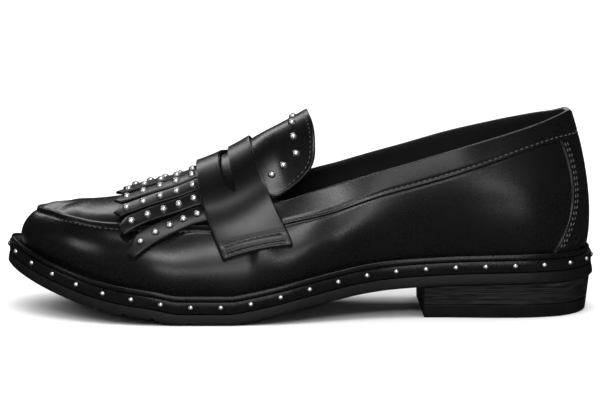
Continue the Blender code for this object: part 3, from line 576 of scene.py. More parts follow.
class Finish:
    # One material: fixed socket values, and a method that adds any node
    def __init__(self, name, fixed):
        self.material = bpy.data.materials.new(name)
        self.material.use_nodes = True
        self.tree = self.material.node_tree
        self.shader = self.tree.nodes["Principled BSDF"]
        for socket, value in fixed.items():
            self.shader.inputs[socket].default_value = value

    def node(self, kind, settings, inputs):
        made = self.tree.nodes.new(kind)
        for key, value in settings.items():
            if key == "stops":
                for stop, (position, shade) in zip(made.color_ramp.elements, value):
                    stop.position = position
                    stop.color = (shade, shade, shade, 1.0)
            else:
                setattr(made, key, value)
        for key, value in inputs.items():
            if isinstance(value, Wire):
                self.tree.links.new(value.socket, made.inputs[key])
            else:
                made.inputs[key].default_value = value
        return [Wire(self, socket) for socket in made.outputs]

    def place(self):
        return self.node("ShaderNodeTexCoord", {}, {})[3]

    def noise(self, scale, detail=2.0, vector=None):
        inputs = {"Vector": vector or self.place(), "Scale": scale, "Detail": detail}
        return self.node("ShaderNodeTexNoise", {}, inputs)[0]

    def clip(self, wire, low, high):
        return self.node("ShaderNodeMapRange", {}, {0: wire, 1: low, 2: high, 3: 0.0, 4: 1.0})[0]

    def blend(self, factor, first, second):
        first, second = ((*c, 1.0) if isinstance(c, tuple) else c for c in (first, second))
        inputs = {0: factor, 6: first, 7: second}
        return self.node("ShaderNodeMix", {"data_type": "RGBA"}, inputs)[2]

    def feed(self, socket, wire):
        self.tree.links.new(wire.socket, self.shader.inputs[socket])

    def bump(self, height, distance, strength=1.0):
        inputs = {"Height": height, "Distance": distance, "Strength": strength}
        self.feed("Normal", self.node("ShaderNodeBump", {}, inputs)[0])


calfLook = {
    "color": (0.0045, 0.0045, 0.0048),
    "worn": (0.0085, 0.0085, 0.0088),
    "roughness": 0.28,
    "roughnessSwing": 0.06,
    "cloudScale": 48.0,
    "grainScale": 800.0,
    "grainDepth": 0.00002,
    "mottle": 0.10,                   # how much the fine grain varies the roughness
}


def makeCalf(name, change=None):
    values = {**calfLook, **(change or {})}
    look = Finish(name, {"IOR": 1.5, "Coat Roughness": 0.24, "Coat Weight": 0.30,
                         "Specular IOR Level": 0.5})
    cloud = look.noise(values["cloudScale"], 3.0)
    grain = look.noise(values["grainScale"], 3.0)
    look.feed("Base Color", look.blend(cloud * 0.6 + grain * 0.2, values["color"], values["worn"]))
    look.feed("Roughness", values["roughness"] + (cloud - 0.5) * values["roughnessSwing"] * 2
              + (grain - 0.5) * values["mottle"])
    look.bump(grain + cloud * 0.4, values["grainDepth"])
    return look.material


liningLook = {"color": (0.012, 0.0115, 0.0115), "pale": (0.022, 0.021, 0.021), "roughness": 0.62}


def makeLining():
    look = Finish("liningLeather", {"IOR": 1.45, "Specular IOR Level": 0.35, "Sheen Weight": 0.06})
    fibre = look.noise(1600.0, 4.0)
    cloud = look.noise(70.0, 2.0)
    mixed = cloud * 0.5 + fibre * 0.4
    look.feed("Base Color", look.blend(mixed, liningLook["color"], liningLook["pale"]))
    look.feed("Roughness", liningLook["roughness"] + (fibre - 0.5) * 0.25)
    look.bump(fibre, 0.00009)
    return look.material


edgeLook = {"color": (0.0050, 0.0050, 0.0053), "pale": (0.0085, 0.0085, 0.0090), "roughness": 0.29}


def makeEdge():
    # Dyed and burnished edge, with faint lines that run round the shoe
    look = Finish("dyedEdge", {"IOR": 1.48, "Specular IOR Level": 0.45})
    rub = look.noise(120.0, 3.0)
    fine = look.noise(1300.0, 3.0)
    look.feed("Base Color", look.blend(rub * 0.7, edgeLook["color"], edgeLook["pale"]))
    look.feed("Roughness", edgeLook["roughness"] + (rub - 0.5) * 0.2 + (fine - 0.5) * 0.15)
    look.bump(fine * 0.8 + rub * 0.8, 0.00006)
    return look.material


rubberLook = {"color": (0.0060, 0.0060, 0.0063), "dust": (0.0125, 0.0125, 0.0130), "roughness": 0.52}


def makeRubber():
    look = Finish("soleRubber", {"IOR": 1.5, "Specular IOR Level": 0.40})
    dust = look.clip(look.noise(210.0, 4.0), 0.45, 0.75)
    fine = look.noise(1800.0, 3.0)
    look.feed("Base Color", look.blend(dust * 0.6, rubberLook["color"], rubberLook["dust"]))
    look.feed("Roughness", rubberLook["roughness"] + dust * 0.12 + (fine - 0.5) * 0.15)
    look.bump(fine, 0.00008)
    return look.material


stackLook = {"color": (0.0045, 0.0045, 0.0047), "pale": (0.030, 0.029, 0.028), "roughness": 0.46,
             "lineScale": 2400.0, "drawn": (0.04, 0.04, 1.0)}


def makeStack():
    # Level streaks of a dyed stack: noise drawn out along the floor's plane
    look = Finish("stackedHeel", {"IOR": 1.48, "Specular IOR Level": 0.4})
    spot = look.place()
    drawn = look.node("ShaderNodeMapping", {"vector_type": "POINT"}, {0: spot, 3: stackLook["drawn"]})[0]
    streaks = look.noise(stackLook["lineScale"], 4.0, drawn)
    broad = look.noise(150.0, 2.0, drawn)
    shown = look.clip(streaks, 0.40, 0.70)
    look.feed("Base Color", look.blend(shown, stackLook["color"], stackLook["pale"]))
    look.feed("Roughness", stackLook["roughness"] + (streaks - 0.5) * 0.35)
    look.bump(streaks * 1.2 + broad * 0.3, 0.00016)
    return look.material


studLook = {"color": (0.88, 0.87, 0.86), "dull": (0.70, 0.69, 0.68), "roughness": 0.22}


def makeStudMetal():
    look = Finish("polishedStud", {"Metallic": 1.0, "Specular IOR Level": 0.5})
    haze = look.noise(420.0, 3.0)
    look.feed("Base Color", look.blend(haze, studLook["color"], studLook["dull"]))
    look.feed("Roughness", studLook["roughness"] + (haze - 0.4) * 0.12)
    look.bump(look.noise(900.0, 2.0), 0.00001)
    return look.material


threadLook = {"color": (0.070, 0.070, 0.072), "pale": (0.140, 0.140, 0.143), "roughness": 0.45}


def makeThread():
    # Waxed black thread: fine twist lines across each stitch
    look = Finish("waxedThread", {"IOR": 1.48, "Specular IOR Level": 0.6, "Sheen Weight": 0.1})
    twist = look.noise(2600.0, 2.0)
    look.feed("Base Color", look.blend(twist, threadLook["color"], threadLook["pale"]))
    look.feed("Roughness", threadLook["roughness"] + (twist - 0.5) * 0.25)
    look.bump(twist, 0.00010)
    return look.material


calfSkin = makeCalf("blackCalf")
strapSkin = makeCalf("strapCalf", {"cloudScale": 70.0, "roughness": 0.31})
fringeSkin = makeCalf("fringeCalf", {"roughness": 0.36, "color": (0.0060, 0.0060, 0.0063)})
liningSkin = makeLining()
dyedEdge = makeEdge()
rubberSkin = makeRubber()
stackSkin = makeStack()
studMetal = makeStudMetal()
threadSkin = makeThread()
print("loafer: finishes are mixed")


# Mesh tools
def makePiece(name, points, faces, finishes, nodes=(), marks=None, merge=0.0, sharp=None):
    mesh = bpy.data.meshes.new(name)
    mesh.from_pydata(np.asarray(points, float).reshape(-1, 3).tolist(), [], [tuple(f) for f in faces])
    for finish in finishes:
        mesh.materials.append(finish)
    if marks is not None:
        mesh.polygons.foreach_set("material_index", np.asarray(marks, dtype=np.int32))
    work = bmesh.new()
    work.from_mesh(mesh)
    if merge:
        bmesh.ops.remove_doubles(work, verts=work.verts, dist=merge)
    bmesh.ops.recalc_face_normals(work, faces=work.faces)
    work.to_mesh(mesh)
    work.free()
    mesh.shade_smooth()
    if sharp:
        mesh.set_sharp_from_angle(angle=math.radians(sharp))
    piece = bpy.data.objects.new(name, mesh)
    bpy.context.scene.collection.objects.link(piece)
    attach(piece, "root")
    if nodes:
        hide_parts(*nodes)
    return piece


def gridFaces(rows, columns, start=0, turned=False):
    # Quads of a grid whose vertices are numbered row by row
    i, j = np.meshgrid(np.arange(rows - 1), np.arange(columns - 1), indexing="ij")
    a = (start + i * columns + j).ravel()
    quads = np.stack([a, a + columns, a + columns + 1, a + 1], axis=-1)
    return (quads[:, ::-1] if turned else quads).tolist()


def edged(count, margin):
    # Values from -1 to 1, with four more close to each end to carry a rounded edge
    inner = np.linspace(-1 + margin, 1 - margin, count)
    close = np.array([0.0, 0.10, 0.30, 0.60]) * margin
    return np.concatenate([-1 + close, inner, (1 - close)[::-1]])


def slab(along, around, lift, thick, edge, radius, firstPoint=0):
    # A sheet with rounded edges on the instep: grids of place, lift and distance from its edge
    base = onInstep(along, around, lift)
    up = (onInstep(along, around, lift + 0.001) - base) / 0.001
    return sheet(base, up, thick, edge, radius, firstPoint)


def sheet(base, up, thick, edge, radius, firstPoint=0):
    inward = np.clip(edge, 0.0, radius)
    drop = radius - np.sqrt(np.maximum(radius ** 2 - (radius - inward) ** 2, 0.0))
    top = base + up * (thick - drop)[..., None]
    bottom = base + up * (drop * 0.7)[..., None]
    rows, columns = base.shape[:2]
    points = np.concatenate([top.reshape(-1, 3), bottom.reshape(-1, 3)])
    faces = gridFaces(rows, columns, firstPoint)
    upperCount = len(faces)
    faces += gridFaces(rows, columns, firstPoint + rows * columns, True)
    rim = ([k for k in range(columns)] + [r * columns + columns - 1 for r in range(1, rows)]
           + [(rows - 1) * columns + k for k in range(columns - 2, -1, -1)]
           + [r * columns for r in range(rows - 2, 0, -1)])
    below = rows * columns
    for k, a in enumerate(rim):
        b = rim[(k + 1) % len(rim)]
        faces.append([firstPoint + a, firstPoint + b, firstPoint + below + b, firstPoint + below + a])
    return points, faces, upperCount


stitch = {
    "length": 0.0019, "gap": 0.0009, "radius": 0.00036,
    "stand": 0.30, "dip": 0.9,        # middle over the leather and ends below it, in radii
}


def stitchRow(path, normals, settings=None):
    # Thread on a path: short capsules whose ends dip into the leather
    values = {**stitch, **(settings or {})}
    path, normals = np.asarray(path), np.asarray(normals)
    run = runOf(path)
    pitch = values["length"] + values["gap"]
    count = max(int(run[-1] // pitch), 1)
    rings = np.array([-1.0, -0.86, -0.5, 0.0, 0.5, 0.86, 1.0])
    girth = np.array([0.30, 0.72, 0.97, 1.0, 0.97, 0.72, 0.30])
    sides = 6
    turns = np.linspace(0, 2 * math.pi, sides + 1)[:-1]
    points, faces = [], []
    for k in range(count):
        middle = (k + 0.5) * run[-1] / count

        def at(distance):
            return np.array([np.interp(distance, run, path[:, c]) for c in range(3)])
        centre = at(middle)
        ahead = at(middle + values["length"] / 2) - at(middle - values["length"] / 2)
        ahead /= np.linalg.norm(ahead)
        up = np.array([np.interp(middle, run, normals[:, c]) for c in range(3)])
        up -= ahead * (up @ ahead)
        up /= np.linalg.norm(up)
        beside = np.cross(ahead, up)
        base = len(points)
        for ring, thick in zip(rings, girth):
            hub = centre + ahead * ring * values["length"] / 2
            hub = hub + up * values["radius"] * (values["stand"] - values["dip"] * ring ** 2)
            for turn in turns:
                spoke = up * math.cos(turn) * 0.85 + beside * math.sin(turn)
                points.append(hub + spoke * thick * values["radius"])
        for r in range(len(rings) - 1):
            near, far = base + r * sides, base + (r + 1) * sides
            for c in range(sides):
                d = (c + 1) % sides
                faces.append([near + c, near + d, far + d, far + c])
        faces.append([base + c for c in range(sides)][::-1])
        faces.append([base + (len(rings) - 1) * sides + c for c in range(sides)])
    return points, faces


def makeStitches(name, rows):
    points, faces = [], []
    for path, normals, settings in rows:
        more, quads = stitchRow(path, normals, settings)
        faces += [[len(points) + v for v in quad] for quad in quads]
        points += more
    return makePiece(name, points, faces, [threadSkin])


dome = {"segments": 20, "rings": 8}


def domes(seats, normals, diameter, depth=1.0):
    # Polished domes standing on their seats
    radius = diameter / 2
    points, faces = [], []
    for seat, up in zip(seats, normals):
        up = up / np.linalg.norm(up)
        side = np.cross(up, [0.31, 0.87, 0.38])
        side /= np.linalg.norm(side)
        other = np.cross(up, side)
        base = len(points)
        for r in range(dome["rings"]):
            rise = math.pi / 2 * r / dome["rings"]
            for c in range(dome["segments"]):
                turn = 2 * math.pi * c / dome["segments"]
                points.append(seat + up * radius * depth * math.sin(rise) + radius * math.cos(rise)
                              * (side * math.cos(turn) + other * math.sin(turn)))
        points.append(seat + up * radius * depth)
        size = dome["segments"]
        for r in range(dome["rings"] - 1):
            for c in range(size):
                d = (c + 1) % size
                faces.append([base + r * size + c, base + r * size + d, base + (r + 1) * size + d,
                              base + (r + 1) * size + c])
        last = base + (dome["rings"] - 1) * size
        for c in range(size):
            faces.append([last + c, last + (c + 1) % size, last + size])
        faces.append([base + c for c in range(size)][::-1])
    return points, faces


# Upper
upperDetail = {
    "ribs": 230, "lowRows": 36, "highRows": 30, "rimRows": 7, "innerRows": 22, "rimRise": 0.55,
    "apronStart": 0.600, "apronFull": 0.630, "collarFull": 0.540, "collarEnd": 0.556,
    "ridgeWidth": 0.0009, "ridgeExtra": 0.0003, "panelRise": 0.0003, "sewnDip": 0.00016,
    "foldDip": 0.00012, "channelBelow": 0.0020, "channelDepth": 0.00030, "channelWidth": 0.00055,
    "stitchAbove": 0.0017, "backstayRows": (0.0013, 0.0029),
    "backstaySweep": 0.016, "backstayBow": 0.021,
}
nearSeam = np.array([-3.4, -2.8, -2.4, -2.0, -1.6, -1.25, -0.95, -0.7, -0.45, -0.25,
                     -0.1, 0.0, 0.1, 0.25,
                     0.45, 0.7, 0.95, 1.25, 1.6, 2.0, 2.5, 3.2]) / 1000
creases = [
    # side, mm from the heel, share of the rib's height, length and width in mm, slope, depth in mm
    ("lateral", 196.0, 0.34, 17.0, 5.6, 0.55, 0.06),
    ("lateral", 184.0, 0.28, 15.0, 5.4, 0.60, 0.05),
    ("lateral", 124.0, 0.55, 20.0, 5.6, -0.25, 0.09),
    ("lateral", 44.0, 0.45, 15.0, 5.0, 0.20, 0.08),
    ("medial", 190.0, 0.38, 17.0, 4.6, -0.55, 0.12),
    ("medial", 128.0, 0.60, 18.0, 5.2, 0.30, 0.12),
    ("medial", 60.0, 0.50, 18.0, 5.0, -0.20, 0.10),
]


meanRib = 62.0                        # length of a rib in mm, for laying out the creases


def ribNormal(side, p, t):
    p, t = np.broadcast_arrays(np.asarray(p, float), np.asarray(t, float))
    along = (ribPoint(side, np.minimum(p + 0.002, 1.0), t)
             - ribPoint(side, np.maximum(p - 0.002, 0.0), t))
    up = ribPoint(side, p, np.minimum(t + 0.01, 1.0)) - ribPoint(side, p, np.maximum(t - 0.01, 0.0))
    normal = np.cross(along, up) * (-1.0 if side == "lateral" else 1.0)
    return normal / np.maximum(np.linalg.norm(normal, axis=-1, keepdims=True), 1e-12)


def seamPositions(side, p):
    # Where each rib crosses the seam, by halving
    low, high = np.full(len(p), 0.05), np.full(len(p), 0.97)
    for _ in range(24):
        middle = (low + high) / 2
        point = ribPoint(side, p, middle)
        s = heelDistance(point)
        under = point[..., 2] < soleTop(s) + seamRise(s)
        low, high = np.where(under, middle, low), np.where(under, high, middle)
    return (low + high) / 2


backstayP = float(positionOf(raised["backstayEdge"]))
ribPlaces = spread(upperDetail["ribs"])
throatIndex = int(np.argmin(abs(ribPlaces - throatP)))
ribPlaces[throatIndex] = throatP
dense = np.arange(backstayP - 0.0235, backstayP + upperDetail["backstaySweep"] + 0.004, 0.0006)
wide = ribPlaces[(ribPlaces < dense[0]) | (ribPlaces > dense[-1])]
ribPlaces = np.sort(np.concatenate([wide, dense]))
throatIndex = int(np.argmin(abs(ribPlaces - throatP)))


def backstayLine(height):
    # The backstay's front edge bows back at mid height and sweeps forward toward the sole
    share = np.clip(height, 0.0, 1.0)
    sweep = upperDetail["backstaySweep"] * (1 - share) ** 1.6
    return backstayP + sweep - upperDetail["backstayBow"] * np.sin(math.pi * share)


class SideOfUpper:
    # What one side's ribs need: the seam, its reach and the shares of apron and collar
    def __init__(self, side):
        self.side = side
        self.seam = seamPositions(side, ribPlaces)
        step = ribPoint(side, ribPlaces, self.seam + 0.01) - ribPoint(side, ribPlaces, self.seam - 0.01)
        self.reach = np.linalg.norm(step, axis=-1) / 0.02
        share = heelDistance(ribPoint(side, ribPlaces, self.seam)) / last["soleLength"]
        self.apron = smoothStep(upperDetail["apronStart"], upperDetail["apronFull"], share)
        self.collar = 1 - smoothStep(upperDetail["collarFull"], upperDetail["collarEnd"], share)

    def at(self, values, p):
        return np.interp(p, ribPlaces, values)

    def raise_(self, p, t):
        # Height of the raised work over the plain upper
        u = (t - self.at(self.seam, p)) * self.at(self.reach, p)
        apron, collar = self.at(self.apron, p), self.at(self.collar, p)
        ridgeTop = raised["apronRidge"] + upperDetail["ridgeExtra"]
        ridge = ridgeTop * np.exp(-(u / upperDetail["ridgeWidth"]) ** 2)
        channel = -upperDetail["channelDepth"] * np.exp(
            -((u + upperDetail["channelBelow"]) / upperDetail["channelWidth"]) ** 2)
        panel = upperDetail["panelRise"] * smoothStep(0.0, 0.0012, u)
        panel = panel * (1 - smoothStep(0.006, 0.014, u))
        band = raised["collarStep"] * smoothStep(-0.00015, 0.00035, u)
        sewn = -upperDetail["sewnDip"] * np.exp(-((u - upperDetail["stitchAbove"]) / 0.0006) ** 2)
        fold = -upperDetail["foldDip"] * np.exp(-((u + 0.0005) / 0.0005) ** 2)
        edge = backstayLine(t / self.at(self.seam, p))
        stay = raised["backstayStep"] * (1 - smoothStep(edge - 0.0002, edge + 0.0016, p))
        under = 1 - smoothStep(-0.0003, 0.0004, u)
        tidy = stay * under + collar * band * 1.15
        return apron * (ridge + channel + panel) + tidy + collar * (sewn + fold)

    def worn(self, p, t, point):
        # Soft troughs, listed one by one, each with a low ridge beside it
        s, total = heelDistance(point) * 1000, np.zeros(np.broadcast(p, t).shape)
        for side, along, height, length, width, slope, depth in creases:
            if side != self.side:
                continue
            x, y = s - along, (t - height) * meanRib
            turn = math.atan(slope)
            a = x * math.cos(turn) + y * math.sin(turn)
            b = -x * math.sin(turn) + y * math.cos(turn)
            shape = np.exp(-(b / width) ** 2) - 0.45 * np.exp(-((b - 1.9 * width) / width) ** 2)
            total -= depth / 1000 * shape * np.exp(-(a / length) ** 2)
        return total

    def outer(self, p, t, normals=None):
        point = ribPoint(self.side, p, t)
        normal = ribNormal(self.side, p, t) if normals is None else normals
        fade = smoothStep(0.0, 0.10, t) * (1 - smoothStep(0.93, 1.0, t))
        return point + normal * (self.raise_(p, t) + self.worn(p, t, point) * fade)[..., None]


upperSides = {side: SideOfUpper(side) for side in ("lateral", "medial")}


def upperLoops():
    # For each side: every rib as a closed loop of points, outer face, rim and inner face
    detail = upperDetail
    grids, normals = {}, {}
    for side, data in upperSides.items():
        reach = data.reach[:, None]
        offsets = nearSeam[None, :] / reach
        first = data.seam[:, None] + offsets[:, :1]
        final = data.seam[:, None] + offsets[:, -1:]
        low = first * np.linspace(0.0, 1.0, detail["lowRows"])[None, :-1]
        high = final + (1 - final) * np.linspace(0.0, 1.0, detail["highRows"])[None, 1:]
        t = np.concatenate([low, data.seam[:, None] + offsets, high], axis=1)
        grids[side] = np.clip(t, 0.0, 1.0)
        normals[side] = ribNormal(side, ribPlaces[:, None], grids[side])
    innerT = np.linspace(1.0, 0.0, detail["innerRows"])[None, :]
    innerNormals = {side: ribNormal(side, ribPlaces[:, None], innerT) for side in grids}
    for part, top in ((normals, -1), (innerNormals, 0)):
        # Both sides agree on the back rib, the toe rib and the ridge
        for row in (0, -1):
            count = min(part["lateral"].shape[1], part["medial"].shape[1])
            mean = part["lateral"][row, :count] + part["medial"][row, :count]
            if row == 0:
                mean[:, 1] = 0.0
            mean /= np.maximum(np.linalg.norm(mean, axis=-1, keepdims=True), 1e-9)
            part["lateral"][row, :count] = part["medial"][row, :count] = mean
        mean = part["lateral"][throatIndex:, top] + part["medial"][throatIndex:, top]
        mean /= np.maximum(np.linalg.norm(mean, axis=-1, keepdims=True), 1e-9)
        part["lateral"][throatIndex:, top] = part["medial"][throatIndex:, top] = mean
    loops = {}
    p = ribPlaces[:, None]
    drop = np.array([0.0, 0.0, welt["weltHeight"]])
    for side, data in upperSides.items():
        outer = data.outer(p, grids[side], normals[side])
        inner = ribPoint(side, p, innerT) - innerNormals[side] * last["wall"]
        start, end = outer[:, -1], inner[:, 0]
        across = (start - end) / 2
        up = ribPoint(side, ribPlaces, 1.0) - ribPoint(side, ribPlaces, 0.97)
        up /= np.linalg.norm(up, axis=-1, keepdims=True)
        up[throatIndex] = [0.5, 0.0, 0.86]
        half = np.linalg.norm(across, axis=-1, keepdims=True)
        angles = np.linspace(0, math.pi, detail["rimRows"] + 2)[1:-1]
        crest = up * half * detail["rimRise"]
        rim = np.stack([(start + end) / 2 + across * math.cos(a) + crest * math.sin(a)
                        for a in angles], axis=1)
        parts = [outer[:, :1] - drop, outer, rim, inner, inner[:, -1:] - drop]
        loops[side] = np.concatenate(parts, axis=1)
    return loops


def makeUpper():
    loops = upperLoops()
    points, faces, marks = [], [], []
    outerRows = 1 + upperDetail["lowRows"] - 1 + len(nearSeam) + upperDetail["highRows"] - 1
    rimEnd = outerRows + upperDetail["rimRows"]
    for side, loop in loops.items():
        start = len(points)
        ribs, rows = loop.shape[:2]
        points += loop.reshape(-1, 3).tolist()
        for i in range(ribs - 1):
            for j in range(rows):
                n = (j + 1) % rows
                if i >= throatIndex and outerRows - 1 <= j < rimEnd:
                    continue
                near, far = start + i * rows, start + (i + 1) * rows
                quad = [near + j, far + j, far + n, near + n]
                faces.append(quad if side == "medial" else quad[::-1])
                marks.append(1 if j >= rimEnd - 2 else 0)
    return makePiece("upperShell", points, faces, [calfSkin, liningSkin], ["upper"],
                     marks, 1e-6)


def seamPath(side, start, end, offset, count=240, lift=0.0):
    # A line on the upper that keeps one distance above the seam
    data = upperSides[side]
    p = np.linspace(float(positionOf(start)), float(positionOf(end)), count)
    t = data.at(data.seam, p) + offset / data.at(data.reach, p)
    normal = ribNormal(side, p, t)
    return data.outer(p, t) + normal * lift, normal


def backstayPath(side, back, low=0.04, count=60):
    data = upperSides[side]
    seam = float(data.at(data.seam, backstayP))
    t = np.linspace(low, seam - 0.02, count)
    p = backstayLine(t / seam) - back / 0.300
    return data.outer(p, t), ribNormal(side, p, t)


def makeUpperStitches():
    apron, collar, stay = [], [], []
    small = {"length": 0.0017, "gap": 0.0009, "radius": 0.00031}
    for side in ("lateral", "medial"):
        apron.append((*seamPath(side, 0.630, 0.9985, -upperDetail["channelBelow"]), small))
        collar.append((*seamPath(side, 0.003, 0.545, upperDetail["stitchAbove"]), small))
        for back in upperDetail["backstayRows"]:
            stay.append((*backstayPath(side, back), small))
    makeStitches("apronStitches", apron)
    makeStitches("collarStitches", collar)
    makeStitches("backstayStitches", stay)


makeUpper()
makeUpperStitches()
print("loafer: the upper is drawn over the last")


# Sole: rings round the plan, stacked
soleDetail = {"places": 150, "treadShares": (0.684, 0.747, 0.793, 0.843)}
solePlaces = spread(soleDetail["places"])


def soleRing(places, insetAt, heightAt, lastIsPoint=True, medialPlaces=None):
    medialPlaces = places if medialPlaces is None else medialPlaces
    s, y, _, _ = outlines["lateral"](places, insetAt(places))
    near = world(s, y, heightAt(s))
    backwards = medialPlaces[-2:0:-1] if lastIsPoint else medialPlaces[:0:-1]
    s, y, _, _ = outlines["medial"](backwards, insetAt(backwards))
    return np.concatenate([near, world(s, y, heightAt(s))])


def stackRings(name, rings, finish, nodes, capped=True, lastIsPoint=True, sharp=40):
    size, levels = len(rings[0]), len(rings)
    faces = []
    for level in range(levels if not capped else levels - 1):
        above = (level + 1) % levels
        for k in range(size):
            n = (k + 1) % size
            faces.append([level * size + k, level * size + n, above * size + n, above * size + k])
    if capped:
        rungs = size // 2 if lastIsPoint else (size - 1) // 2
        for level in (0, levels - 1):
            base = level * size
            for k in range(rungs):
                rung = [base + k, base + k + 1, base + (size - k - 1) % size, base + (size - k) % size]
                faces.append(list(dict.fromkeys(rung)))
    return makePiece(name, np.concatenate(rings), faces, [finish], nodes, None, 0.0, sharp)


def ringOf(inset, rise, base):
    insetAt = inset if callable(inset) else (lambda p: np.full(np.shape(p), inset))
    return soleRing(solePlaces, insetAt, lambda s: base(s) + rise)


def makeOutsole():
    flare, thick = sole["outsoleFlare"], sole["outsoleThick"]
    profile = [(-flare + 0.0010, 0.0), (-flare + 0.0004, 0.00012), (-flare + 0.0001, 0.0004),
               (-flare, 0.0008), (-flare * 0.95, thick * 0.35), (-flare * 0.6, thick * 0.6),
               (-flare * 0.2, thick * 0.92),
               (0.0, thick - 0.0001), (0.0003, thick)]
    outsole = stackRings("outsoleRubber", [ringOf(i, r, underside) for i, r in profile], rubberSkin,
                         ["outsole"])
    for index, share in enumerate(soleDetail["treadShares"]):
        mesh = bpy.data.meshes.new("tread")
        work = bmesh.new()
        bmesh.ops.create_cube(work, size=1.0)
        size = (sole["grooveWidth"], last["ballWidth"] * 1.3, 2 * sole["grooveDepth"])
        bmesh.ops.scale(work, vec=size, verts=work.verts)
        place = share * last["soleLength"]
        slope = float(underside(place + 0.001) - underside(place - 0.001)) / 0.002
        bmesh.ops.rotate(work, matrix=Matrix.Rotation(math.atan(slope), 3, "Y"), verts=work.verts)
        centre = (last["soleLength"] / 2 - place, 0.0, float(underside(place)))
        bmesh.ops.translate(work, vec=centre, verts=work.verts)
        work.to_mesh(mesh)
        work.free()
        cutBy(outsole, mesh)
    return outsole


def cutBy(piece, mesh):
    # Cuts at once, so that no cutter is left in the scene
    cutter = bpy.data.objects.new("cutter", mesh)
    bpy.context.scene.collection.objects.link(cutter)
    made = piece.modifiers.new("cut", "BOOLEAN")
    made.operation = "DIFFERENCE"
    made.solver = "EXACT"
    made.object = cutter
    bpy.context.view_layer.update()
    graph = bpy.context.evaluated_depsgraph_get()
    result = bpy.data.meshes.new_from_object(piece.evaluated_get(graph))
    piece.modifiers.clear()
    piece.data = result
    bpy.data.objects.remove(cutter)


bandDetail = {"edge": 0.0005, "studHeight": 0.52, "studSink": 0.0003, "studDepth": 0.95}


def makeBand():
    edge, thick = bandDetail["edge"], sole["bandThick"]
    profile = [(edge, 0.0), (edge * 0.3, edge * 0.3), (0.0, edge), (-0.00008, thick * 0.5),
               (0.0, thick - edge), (edge * 0.3, thick - edge * 0.3), (edge, thick)]
    stackRings("studdedBand", [ringOf(i, r + bandLow, underside) for i, r in profile], dyedEdge,
               ["midsole"])
    seats, ups = [], []
    for side in ("lateral", "medial"):
        s, y, outS, outY = outlines[side](denseP)
        run = np.concatenate([[0.0], np.cumsum(np.hypot(np.diff(s), np.diff(y)))])
        count = int(round(run[-1] / studs["soleStudPitch"]))
        for k in range(count + (1 if side == "lateral" else 0)):
            if side == "medial" and k == 0:
                continue
            p = float(np.interp(k * run[-1] / count, run, denseP))
            s0, y0, s1, y1 = (float(v) for v in outlines[side](p))
            height = float(underside(s0)) + bandLow + sole["bandThick"] * bandDetail["studHeight"]
            up = np.array([-s1, y1, 0.0])
            seat = np.array([last["soleLength"] / 2 - s0, y0, height])
            seats.append(seat - up * bandDetail["studSink"])
            ups.append(up)
    points, faces = domes(seats, ups, studs["soleStudDiameter"], bandDetail["studDepth"])
    makePiece("bandStuds", points, faces, [studMetal], ["midsole"], None, 0.0, 50)


weltDetail = {
    "beadRise": 0.00225, "ledgeRise": 0.00150,
    "bead": ((0.12, 0.78), (0.30, 0.93), (0.50, 1.00), (0.72, 0.95), (0.90, 0.80)),
}


def makeWelt():
    back = welt["weltSetback"]
    bead, rise, ledge = welt["beadWidth"], weltDetail["beadRise"], weltDetail["ledgeRise"]
    profile = [(back, 0.0), (back - 0.0001, rise * 0.25), (back, rise * 0.55)]
    profile += [(back + bead * share, rise * height) for share, height in weltDetail["bead"]]
    profile += [(back + bead, ledge * 0.98), (back + bead * 1.15, ledge * 0.92)]
    rings = [ringOf(i, r, soleTop) for i, r in profile]

    def inner(extra):
        return lambda p: np.maximum(featherInset(p) - last["clearance"] - extra, back + bead * 1.2)
    rings += [ringOf(inner(extra), height, soleTop)
              for extra, height in ((0.0006, ledge), (0.0, ledge * 1.1), (0.0, 0.0))]
    stackRings("weltStrip", rings, dyedEdge, ["welt"], False, True, 55)


def makeInsole():
    def inset(extra):
        return lambda p: featherInset(p) + last["wall"] + last["layerGap"] + extra
    thick = welt["insoleThick"]
    profile = [(0.0, 0.0), (0.0, thick * 0.7), (0.0003, thick * 0.92), (0.0009, thick)]
    rings = [ringOf(inset(i), r, soleTop) for i, r in profile]
    stackRings("sockLining", rings, liningSkin, ["insole"])


heelDetail = {
    "places": 60, "crowding": 1.15, "layers": 5, "lineDepth": 0.00012,
    "lineReach": 0.02,                # half a layer line, as a share of the block's height
    "seatInset": 0.0006,              # block's edge, in from the outsole's
}


def makeHeel():
    share = np.linspace(0.0, 1.0, heelDetail["places"] + 1) ** heelDetail["crowding"]
    lateralPlaces = share * float(positionOf(sole["breastLateral"]))
    medialPlaces = share * float(positionOf(sole["breastMedial"]))

    def ring(heightAt, extra=0.0):
        def insetAt(p):
            s = outlines["lateral"](p)[0]
            drawIn = sole["heelTaper"] * (1 - heightAt(s) / last["heelRise"])
            return drawIn + heelDetail["seatInset"] + extra
        return soleRing(lateralPlaces, insetAt, heightAt, False, medialPlaces)

    low = sole["topLiftThick"] + last["clearance"]

    def level(share):
        return lambda s: low + (underside(s) - last["clearance"] - low) * share
    line = heelDetail["lineReach"]
    rings = [ring(level(0.0), 0.0002), ring(level(line))]
    for k in range(1, heelDetail["layers"]):
        for step, extra in ((-1, 0.0), (0, heelDetail["lineDepth"]), (1, 0.0)):
            rings.append(ring(level(k / heelDetail["layers"] + step * line), extra))
    rings += [ring(level(1 - line)), ring(level(1.0), 0.0002)]
    stackRings("heelStack", rings, stackSkin, ["heel_block"], True, False, 35)
    thick = sole["topLiftThick"]
    rises = ((0.0, 0.0006), (0.00015, 0.0002), (0.0006, 0.0), (thick - 0.0003, 0.0), (thick, 0.0003))
    rings = [ring(lambda s, r=r: np.full(np.shape(s), r), e) for r, e in rises]
    stackRings("topLift", rings, rubberSkin, ["top_lift"], True, False, 35)


makeOutsole()
makeBand()
makeWelt()
makeInsole()
makeHeel()
print("loafer: the sole is stacked")


